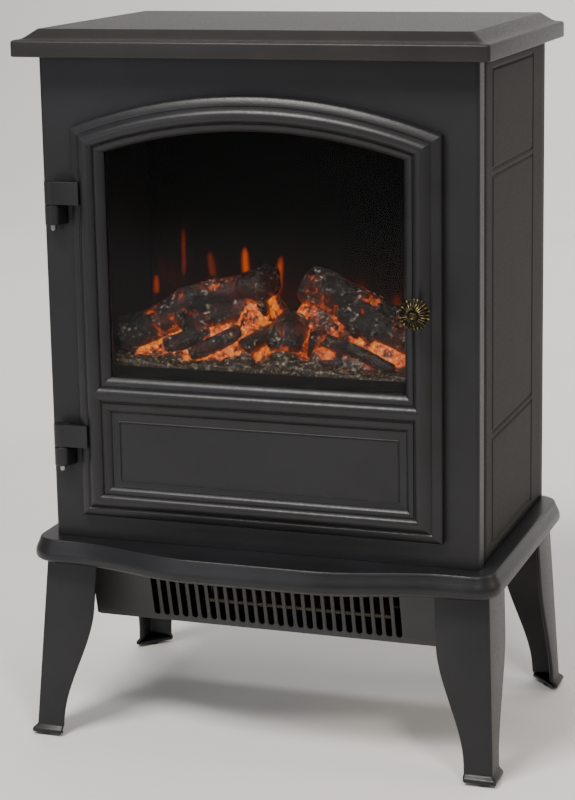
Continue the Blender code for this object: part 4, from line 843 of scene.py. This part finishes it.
# ---- fuel bed ----
# The logs: start and end as (across, back, up) from the middle of the bed's front lower edge,
# start and end radius, how rough, and how much of the light below comes through, in mm.
LOGS = [
    ("main_left", (-122, 26, 34), (-24, 56, 74), 15.0, 12, 0.24, 0.34),
    ("main_left_lump", (-119, 20, 27), (-112, 30, 42), 13, 12, 0.30, 0.05),
    ("crossing_left", (-74, 34, 44), (-14, 44, 58), 9, 9, 0.20, 0.22),
    ("small_left", (-84, 21, 26), (-60, 34, 38), 8.5, 7.5, 0.22, 0.12),
    ("small_middle", (-62, 18, 23), (-30, 32, 38), 7.0, 7.5, 0.20, 0.16),
    ("bark_piece", (-104, 26, 37), (-84, 36, 54), 6.5, 7, 0.25, 0.18),
    ("sawn_stub", (-16, 14.5, 33), (4, 42, 44), 7.0, 7, 0.05, 0.06),
    ("crown_stub", (-20, 40, 72), (-14, 62, 78), 12.5, 11, 0.30, 0.10),
    ("middle_round", (14, 18, 39), (11, 40, 42), 13.6, 13, 0.22, 0.26),
    ("main_right", (26, 56, 75), (121, 44, 36), 14, 14.5, 0.24, 0.34),
    ("right_lump", (82, 34, 52), (118, 34, 38), 10.0, 12, 0.26, 0.16),
    ("right_plate", (60, 36, 58), (84, 30, 44), 7.0, 7.5, 0.26, 0.10),
    ("right_knob", (60, 40, 60), (72, 34, 46), 9, 9, 0.28, 0.12),
    ("front_lump", (43, 20, 42), (39, 24, 27), 7, 6.5, 0.28, 0.08),
    ("branch", (44, 20, 40), (102, 14, 20), 5.5, 5.0, 0.12, 0.05),
    ("twig_across", (32, 12, 19), (62, 14, 22), 4.5, 4, 0.22, 0.10),
    ("twig_back", (57, 8, 14), (60, 17, 30), 3.6, 3.2, 0.2, 0.03),
    ("ember_log", (66, 12, 17), (96, 11, 15), 4.5, 4, 0.2, 0.25),
    ("front_chip", (-34, 12, 17), (-18, 13, 19), 5.0, 4.5, 0.3, 0.10),
]


TRAY = 14.5                  # height of the bed's tray, in mm


def bed_origin():
    """The middle of the bed's front lower edge."""
    low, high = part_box("log_set")
    return np.array([(low.x + high.x) / 2, low.y, low.z])


def make_log(name, start, end, radius_a, radius_b, rough, through):
    """One log's points and glow: a tube along a slightly bowed line, its skin rough as bark.

    radius = taper * dome * (1 + rough * (0.9 knots + 0.35 bark - 0.75 cracks + 0.4)), the three
    being noises stretched along the grain; the dome closes both ends. The glow is strongest
    underneath, where the lamps shine, and in the cracks on top.
    """
    origin = bed_origin()
    start, end = origin + np.array(start) * MM, origin + np.array(end) * MM
    length = np.linalg.norm(end - start)
    radius = (radius_a + radius_b) / 2 * MM
    axis = (end - start) / length
    side = np.cross(axis, [0.0, 0.0, 1.0])
    side = side / np.linalg.norm(side)
    up = np.cross(side, axis)
    rows = int(np.clip(length / (0.8 * MM), 40, 150))
    columns = int(np.clip(2 * np.pi * radius / (0.9 * MM), 32, 110))
    cap = radius * 0.75
    closing = cap * (1 - np.sin(np.linspace(0.06, np.pi / 2, 10)))
    along = np.concatenate([-closing, np.linspace(0, length, rows)[1:-1],
                            length + closing[::-1]])
    over = np.clip(np.maximum(-along, along - length) / cap, 0, 1)
    sawn = 8.0 if name == "sawn_stub" else 2.6
    dome = (1 - over**sawn) ** (1 / 2.2)
    dome[[0, -1]] = 0.02
    share = np.clip(along / length, 0, 1)
    taper = (radius_a + (radius_b - radius_a) * share) * MM
    turn = np.linspace(0, 2 * np.pi, columns, endpoint=False)
    a, t = np.meshgrid(along, turn, indexing="ij")
    seed = (sum(ord(letter) for letter in name) % 97) * 0.37
    grain = np.stack([a * 0.55 / radius + seed, np.cos(t) * 1.2, np.sin(t) * 1.2], -1)
    plates = noise(grain, 0.62, 2)
    bark = noise(grain + 4.7, 0.30, 3)
    knots = noise(grain + 9.1, 1.5, 2)
    cracks = soft_step(1 - np.abs(plates) / 0.16)
    bow = np.sin(share * np.pi)[:, None] * 0.06 * length
    skin = taper[:, None] * dome[:, None] * (1 + rough * (0.9 * knots + 0.35 * bark)
                                             - 0.75 * rough * cracks + 0.4 * rough)
    centre = start + axis * a[..., None] + up * bow[..., None] * (0.5 if length > 0.05 else 0.1)
    points = centre + skin[..., None] * (np.cos(t)[..., None] * side + np.sin(t)[..., None] * up)
    below = soft_step((-np.sin(t) - 0.25) / 0.7)
    patches = soft_step(noise(points, 15 * MM, 3) * 1.7 + 0.25)
    glow = 0.6 * below + through * 2.6 * patches * (0.3 + 0.7 * cracks) * (np.sin(t) > -0.6)
    return points, glow


def make_logs(finish):
    """All logs in one piece, as they are one moulding."""
    blocks, faces, glows, count = [], [], [], 0
    for entry in LOGS:
        points, glow = make_log(*entry)
        for part in capped(points):
            faces.append(part + count)
        blocks.append(points.reshape(-1, 3))
        glows.append(glow.ravel())
        count += len(blocks[-1])
    return piece("resin_logs", np.vstack(blocks), faces, finish, "cabinet", "fuel_bed", sharp=80,
                 values={"glow": np.concatenate(glows)})


def log_distance(x, back):
    """Plan distance to each log's axis over its radius, with the axis height there, per log."""
    found = []
    for _, start, end, radius_a, radius_b, _, _ in LOGS:
        start, end = np.array(start, float), np.array(end, float)
        run = end[:2] - start[:2]
        share = np.clip(((x - start[0]) * run[0] + (back - start[1]) * run[1]) / (run @ run), 0, 1)
        away = np.hypot(x - start[0] - run[0] * share, back - start[1] - run[1] * share)
        radius = radius_a + (radius_b - radius_a) * share
        found.append((away / radius, start[2] + (end[2] - start[2]) * share, radius))
    return found


def make_bed_tray(finish):
    """The black tray that the bed stands in: a rounded block under the ash."""
    low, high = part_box("log_set")
    flat = rounded_rectangle(high.x - 0.4 * MM, low.y + 0.4 * MM, high.y - 0.4 * MM, 2 * MM)
    rings = outline_rings([flat, flat], [low.z, low.z + (TRAY - 0.2) * MM])
    piece("bed_tray", rings, capped(rings), finish, "cabinet", "fuel_bed")


def make_ash_bed(finish):
    """The bed under the logs: a height over its plan, closed by a skirt and a floor.

    height = slope + cradle + noise; the cradle rises towards each log's axis by
    exp(-(distance / 1.25 radius)^2). It glows beside the logs, and its front strip is plain ash.
    """
    low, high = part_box("log_set")
    half, depth = (high.x - low.x) / 2 / MM, (high.y - low.y) / MM
    x = np.linspace(-half, half, 291)
    back = np.linspace(0, depth, 101)
    x, back = np.meshgrid(x, back)
    slope = 16.6 + 1.5 * soft_step(back / 2.5) + 24 * soft_step((back - 10) / 60)
    cradle = np.zeros_like(x)
    beside = np.zeros_like(x)
    for ratio, axis, radius in log_distance(x, back):
        rise = (axis - 0.25 * radius - slope) * np.exp(-(ratio / 1.25) ** 2)
        cradle = np.maximum(cradle, rise)
        beside = np.maximum(beside, np.exp(-((ratio - 1.0) / 0.55) ** 2) * (axis < 66))
    flat = np.stack([x, back, 0 * x], -1)
    rough = noise(flat, 5.0, 3) * 1.1 + noise(flat, 18.0, 2) * 1.5
    edge = soft_step(np.minimum(half - np.abs(x), np.minimum(back + 1.0, depth - back)) / 3.0)
    up = slope + cradle + rough * (0.3 + 0.7 * edge) - 1.5 * (1 - edge)
    glow = (0.25 + 1.0 * beside) * soft_step((back - 9 - 3 * noise(flat, 16.0, 2)) / 7)
    glow = glow * (0.55 + 0.6 * soft_step(noise(flat + 40, 30.0, 2) + 0.5))
    points = bed_origin() + np.stack([x, back, up], -1) * MM
    points, faces, glow = skirted(points, 2, low.z + TRAY * MM, glow)
    return piece("ash_bed", points, faces, finish, "cabinet", "fuel_bed", ["log_set"], sharp=80,
                 values={"glow": glow})


# The flames on the screen, in mm: across, foot and tip above the screen's foot, half width and
# lean; and the strength.
FLAMES = [
    (-127, 57, 73, 3.0, 0.5, 0.50), (-121, 67, 92, 3.6, -7, 0.13), (-111, 62, 86, 3.6, -5, 0.12),
    (-101.5, 76, 119, 2.8, 0.5, 0.30), (-77.5, 74, 96, 4.2, -2.5, 0.30),
    (-47, 78, 99, 3.4, -0.5, 0.95), (-17, 64, 94, 3.4, 3.5, 0.80), (53, 57, 76, 6.0, -1.0, 0.26),
    (83, 49, 66, 5.0, 1.5, 0.2),
]


def make_flame_screen(finish):
    """The screen behind the logs: a slab whose front grid carries the flames' light.

    A flame's light is exp(-1.2 (offset / reach)^2) across, its reach a round-headed taper of the
    height, times a soft rise at its foot and a soft fall at its tip; a dim haze lies low down.
    """
    low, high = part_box("flame_screen")
    x = np.linspace(low.x, high.x, 221)
    z = np.linspace(low.z, high.z, 141)
    x, z = np.meshgrid(x, z)
    across, up = x / MM, (z - low.z) / MM
    light = 0.11 * np.exp(-((up - 48) / 30) ** 2) * (0.75 + 0.4 * np.cos(across / 38.0 + 0.4))
    for middle, foot, tip, width, lean, strength in FLAMES:
        share = (up - foot) / (tip - foot)
        body = soft_step((share + 0.25) / 0.35) * soft_step((1.05 - share) / 0.45)
        reach = width * (0.55 + 0.45 * np.sqrt(np.clip(1 - share, 0, 1)))
        offset = across - middle - lean * (share - 0.5)
        light = light + strength * body * np.exp(-(offset / reach) ** 2 * 1.2)
    front = np.stack([x, np.full_like(x, low.y), z], -1)
    points, faces, light = skirted(front, 1, high.y, light)
    return piece("flame_pane", points, faces, finish, "cabinet", "dark_screen", ["flame_screen"],
                 sharp=40, values={"firelight": light})


# ---- heater ----
def make_slotted_grille(finish):
    """The sloping grille: one cell of sheet round each slot, from the cell's edge to the slot's.

    A cell's points go from its rectangle to a slot with a round foot and a square head; all cells
    are the same points moved along by the pitch. The ends of the sheet close the row.
    """
    low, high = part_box("heater_grille")
    def side_by(x, z):
        return np.stack(np.broadcast_arrays(x, z), -1)

    pitch, half_slot, count = 8.36 * MM, 2.6 * MM, 26
    foot_back, lean, taper = 33.5 * MM, 13.5 * MM, 3 * MM
    foot, head = low.z + 5 * MM, low.z + 42.5 * MM
    n = 9
    straight = np.linspace(foot + half_slot, head, n)
    across = np.linspace(1, -1, n)
    curve = arc((0, foot + half_slot), half_slot, 180, 360, n)
    tall = np.linspace(low.z, high.z, n)
    slot = np.vstack([curve, side_by(half_slot, straight), side_by(across * half_slot, head),
                      side_by(-half_slot, straight[::-1])])
    cell = np.vstack([side_by(-across * pitch / 2, low.z), side_by(pitch / 2, tall),
                      side_by(across * pitch / 2, high.z), side_by(-pitch / 2, tall[::-1])])
    rings = np.stack([cell, slot])
    centres = (np.arange(count) - (count - 1) / 2) * pitch
    flat = rings[None] + side_by(centres, 0.0)[:, None, None, :]
    size = rings.shape[0] * rings.shape[1]
    faces = [quads(2, 4 * n, wrap_columns=True) + i * size for i in range(count)]
    points = [flat.reshape(-1, 2)]
    start = count * size
    edge = centres[-1] + pitch / 2
    for side in (-1, 1):
        slope_in = taper * (1 - (tall - low.z) / (high.z - low.z)) * (side < 0)
        columns = [np.linspace(edge, high.x - slope, 5) for slope in slope_in]
        ends = np.stack([side_by(side * column, z) for column, z in zip(columns, tall)])
        points.append(ends.reshape(-1, 2))
        faces.append(quads(n, 5) + start)
        start += n * 5
    flat = np.vstack(points)
    back = foot_back - lean * (flat[:, 1] - low.z) / (high.z - low.z)
    grille = piece("slotted_grille", np.stack([flat[:, 0], BODY_FRONT + back, flat[:, 1]], -1),
                   faces, finish, "cabinet", "grille_charcoal", ["heater_grille"])
    face_out(grille, Vector((0, -1, 0)))
    thicken(grille, 1.5 * MM)
    soften(grille, 0.35 * MM)
    return grille


def make_ribbon_element(finish):
    """The heating element: a folded resistance ribbon between two mica bars.

    The ribbon's depth is a triangle wave of the distance along the heater.
    """
    low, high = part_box("heating_element")
    folds = 2 * 54
    x = np.linspace(low.x + 2 * MM, high.x - 2 * MM, folds + 1)
    swing = np.where(np.arange(folds + 1) % 2, 0.85, 0.15)
    y = low.y + (high.y - low.y) * swing
    z = np.linspace(low.z + 3 * MM, high.z - 3 * MM, 4)
    points = np.stack([np.repeat(x[None], 4, 0), np.repeat(y[None], 4, 0),
                       np.repeat(z[:, None], folds + 1, 1)], -1)
    ribbon = piece("folded_ribbon", points, [quads(4, folds + 1)], finish, "cabinet",
                   "grille_charcoal", ["heating_element"], sharp=20)
    thicken(ribbon, 0.35 * MM)
    return ribbon


def make_mica_bars(finish):
    """The two bars that hold the ribbon's folds."""
    low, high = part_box("heating_element")
    for label, bottom in (("lower", low.z), ("upper", high.z - 3 * MM)):
        rings = block((low.x, low.y, bottom), (high.x, high.y, bottom + 3 * MM))
        bar = piece(f"mica_bar_{label}", rings, capped(rings), finish, "cabinet",
                    "white_plastic")
        soften(bar, 0.4 * MM)


def make_ribbed_motor(finish):
    """The blower's motor: a drum whose radius steps in and out along its length as cooling ribs."""
    low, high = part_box("blower_motor")
    drum, boss = 17 * MM, 8 * MM
    centre_y, centre_z = (low.y + high.y) / 2, high.z - drum
    along = np.linspace(low.x, high.x - 8 * MM, 49)
    ribs = np.where((np.arange(49) // 3) % 2, 0.90, 1.0)
    profile = [(0.2 * MM, along[0])] + [(drum * r, a) for r, a in zip(ribs, along)]
    profile += [(boss, along[-1]), (boss, high.x - 1 * MM), (3.0 * MM, high.x - 0.5 * MM)]
    rings = turned(profile, (0.0, centre_y, centre_z), "X", 40)
    return piece("ribbed_motor", rings, capped(rings), finish, "cabinet", "motor_steel",
                 ["blower_motor"], sharp=35)


# ---- stage ----
def make_stage():
    """A pale floor that curves up behind the object, and soft lamps round it."""
    made, tree, shader, place = surface("pale_floor", "f1f0ee", 0.7)
    mottle = add(tree, "TexNoise", {"Vector": place, "Scale": 3.0, "Detail": 2.0})
    colour_by(tree, shader, mottle.outputs["Fac"], (0.3, "f0efed"), (0.7, "f3f2f0"))
    curve = np.vstack([[(-6.0, 0.0), (2.5, 0.0)], arc((2.5, 2.0), 2.0, -90, 0, 13), [(4.5, 7.0)]])
    points = np.stack([np.repeat([[-8.0], [8.0]], len(curve), 1),
                       np.repeat(curve[None, :, 0], 2, 0), np.repeat(curve[None, :, 1], 2, 0)], -1)
    mesh = from_arrays("floor", points, [quads(2, len(curve))])
    mesh.shade_smooth()
    mesh.materials.append(made)
    floor = in_scene("floor", mesh)
    face_out(floor, Vector((0, -1, 1)))
    world = bpy.data.worlds.new("studio")
    world.use_nodes = True
    background = world.node_tree.nodes["Background"].inputs
    background["Color"].default_value = linear("ffffff")
    background["Strength"].default_value = 0.24
    bpy.context.scene.world = world
    lamp("front_above", (-0.55, -1.35, 2.3), (0.0, 0.0, 0.35), (0.9, 0.5), 58, "fffaf4")
    lamp("right_above", (1.1, -1.5, 2.0), (0.0, 0.0, 0.35), (0.4, 0.3), 22, "fff8f0")
    lamp("front_fill", (-1.3, -2.4, 0.9), (0.0, 0.0, 0.3), (1.0, 1.0), 8, "e8eeff")
    lamp("right_side", (2.4, 0.3, 1.5), (0.0, 0.0, 0.4), (0.8, 1.2), 14, "ffe4c6")
    lamp("backdrop", (0.0, 1.6, 2.6), (0.0, 3.8, 0.3), (3.0, 1.0), 80, "ffffff")


def lamp(name, place, target, size, power, colour):
    """A soft rectangular lamp that faces its target."""
    data = bpy.data.lights.new(name, "AREA")
    data.shape, data.size, data.size_y = "RECTANGLE", *size
    data.energy, data.color = power, linear(colour)[:3]
    thing = in_scene(name, data)
    thing.location = place
    thing.rotation_euler = (Vector(target) - Vector(place)).to_track_quat("-Z", "Y").to_euler()


def make_camera():
    """The camera: at 19.4 degrees to the right and 12.2 above, with a slight roll and shift."""
    azimuth, elevation, roll = (math.radians(a) for a in (19.43, 12.16, -1.03))
    back = Vector((math.sin(azimuth) * math.cos(elevation),
                   -math.cos(azimuth) * math.cos(elevation), math.sin(elevation)))
    level = Vector((math.cos(azimuth), math.sin(azimuth), 0.0))
    upright = back.cross(level)
    right = math.cos(roll) * level + math.sin(roll) * upright
    up = -math.sin(roll) * level + math.cos(roll) * upright
    data = bpy.data.cameras.new("camera")
    data.lens, data.sensor_width = 99.95, 36.0
    data.shift_x, data.shift_y = 0.0016, -0.0625
    data.clip_start, data.clip_end = 0.05, 50.0
    camera = in_scene("camera", data)
    matrix = Matrix((right, up, back)).transposed().to_4x4()
    matrix.translation = Vector((0.585, BODY_FRONT - 1.590, 0.697))
    camera.matrix_world = matrix
    bpy.context.scene.camera = camera


# Finishes of the frame nodes that still show: what textured takes, and the nodes.
NODE_FINISHES = {
    "powder_coated_rear": (("262728", "2c2d2e", (0.45, 0.55), 2.0, 0.05), "rear_cover"),
    "matt_black_liner": (("0b0b0b", "121111", (0.75, 0.9), 3.0, 0.05), "firebox_liner"),
    "black_pan": (("181819", "1f1f20", (0.55, 0.65), 2.5, 0.05), "base_pan heater_tray"),
    # Zinc-plated steel, barrel plated: bright, with a faint grey bloom.
    "zinc_plated_steel": (
        ("8a8c8f", "a5a7aa", (0.28, 0.42), 1.2, 0.02, 6.0, 1.0),
        "knob_screw rear_screw_1 rear_screw_2 rear_screw_3 rear_screw_4 strike_plate "
        "glass_retainer hinge_pin_upper hinge_pin_lower thermal_cutout"),
    "moulded_rubber": (
        ("141414", "1b1b1b", (0.75, 0.9), 1.5, 0.06),
        "foot_pad_front_left foot_pad_front_right foot_pad_rear_left foot_pad_rear_right"),
    "moulded_black_abs": (
        ("131314", "1a1a1b", (0.38, 0.5), 0.8, 0.03, 12.0),
        "cable_gland magnet_catch switch_body_flame switch_body_low_heat switch_body_high_heat"),
    "natural_acetal": (("cfcdc4", "dcdad2", (0.4, 0.5), 1.0, 0.02, 12.0),
                       "spindle_bush blower_bush thermostat_body terminal_block"),
    "red_translucent_switch": (("a52a1a", "c23a22", (0.25, 0.35), 1.0, 0.02, 8.0), ""),
    "green_solder_mask": (("164a31", "1e6040", (0.3, 0.5), 1.0, 0.03, 8.0),
                          "glow_led_board flame_led_board"),
    # Aluminium sheet, mill finish: fine rolling lines along X.
    "rolled_aluminium": (
        ("a9abad", "c2c4c6", (0.2, 0.34), 0.5, 0.02, 8.0, 1.0, (0.06, 1.0, 1.0)),
        "flame_spindle flame_baffle blower_impeller blower_guide"),
    "galvanised_motor_can": (("7c7d7f", "9a9b9e", (0.3, 0.45), 2.0, 0.03, 5.0, 1.0),
                             "flame_motor"),
}


def paint(finish, nodes):
    """Gives each of the frame's nodes the finish."""
    for node in nodes.split():
        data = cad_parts[node].data
        data.materials.clear()
        data.materials.append(finish)
    return finish


make_camera()
# The side coat is a copy with painted warm light, for the lit side.
# The top coat is a copy with painted light, lighter and warmer, for the top lit from above.
coat, side_coat_painted_light, moulded, top, iron = (coated(name) for name in COATS)
make_top_slab(top)
make_base_slab(moulded)
make_fascia_skin(coat)
for side, label in ((1, "right"), (-1, "left")):
    make_side_skin(side, label, side_coat_painted_light)
    make_leg(True, side, label, moulded)
    make_leg(False, side, label, moulded)
make_door_moulding(moulded)
make_rosette_knob(antique_brass())
for place in ("upper", "lower"):
    softened(f"hinge_strap_{place}", f"strap_{place}", 0.9 * MM, iron, "door", "cast_iron_look", 3)
    softened(f"hinge_lug_{place}", f"lug_{place}", 0.8 * MM, iron, "cabinet", "cast_iron_look", 3)
make_ash_bed(glowing_ash())
make_bed_tray(textured("matt_black_tray", "060606", "0b0a0a", (0.7, 0.85), 2.0, 0.05))
make_logs(painted_resin_log())
make_flame_screen(flame_film())
make_slotted_grille(textured("satin_grille_sheet", "29292a", "303031", (0.42, 0.52), 1.8, 0.05))
make_ribbon_element(textured("nichrome_ribbon", "6a4a2c", "8a6238", (0.35, 0.5), 1.5, 0.03, 6.0,
                             1.0))
make_mica_bars(textured("pressed_mica", "55503f", "6a6450", (0.5, 0.7), 1.5, 0.05, 6.0))
make_ribbed_motor(textured("painted_motor", "1d1e20", "2b2c2e", (0.4, 0.5), 1.5, 0.04))
painted = {name: paint(textured(name, *look), nodes)
           for name, (look, nodes) in NODE_FINISHES.items()}
paint(smoked_glass(), "door_glass")
black_abs, red_abs = painted["moulded_black_abs"], painted["red_translucent_switch"]
softened("control_panel", "control_surround", 0.5 * MM, black_abs, "cabinet", "black_plastic")
softened("thermostat_dial", "dial_cap", 0.5 * MM, black_abs, "dial", "black_plastic")
for label, colour in (("flame", red_abs), ("low_heat", black_abs), ("high_heat", black_abs)):
    softened(f"rocker_{label}", f"rocker_cap_{label}", 0.4 * MM, colour, f"{label}_rocker",
             "red_plastic" if label == "flame" else "black_plastic")
make_stage()
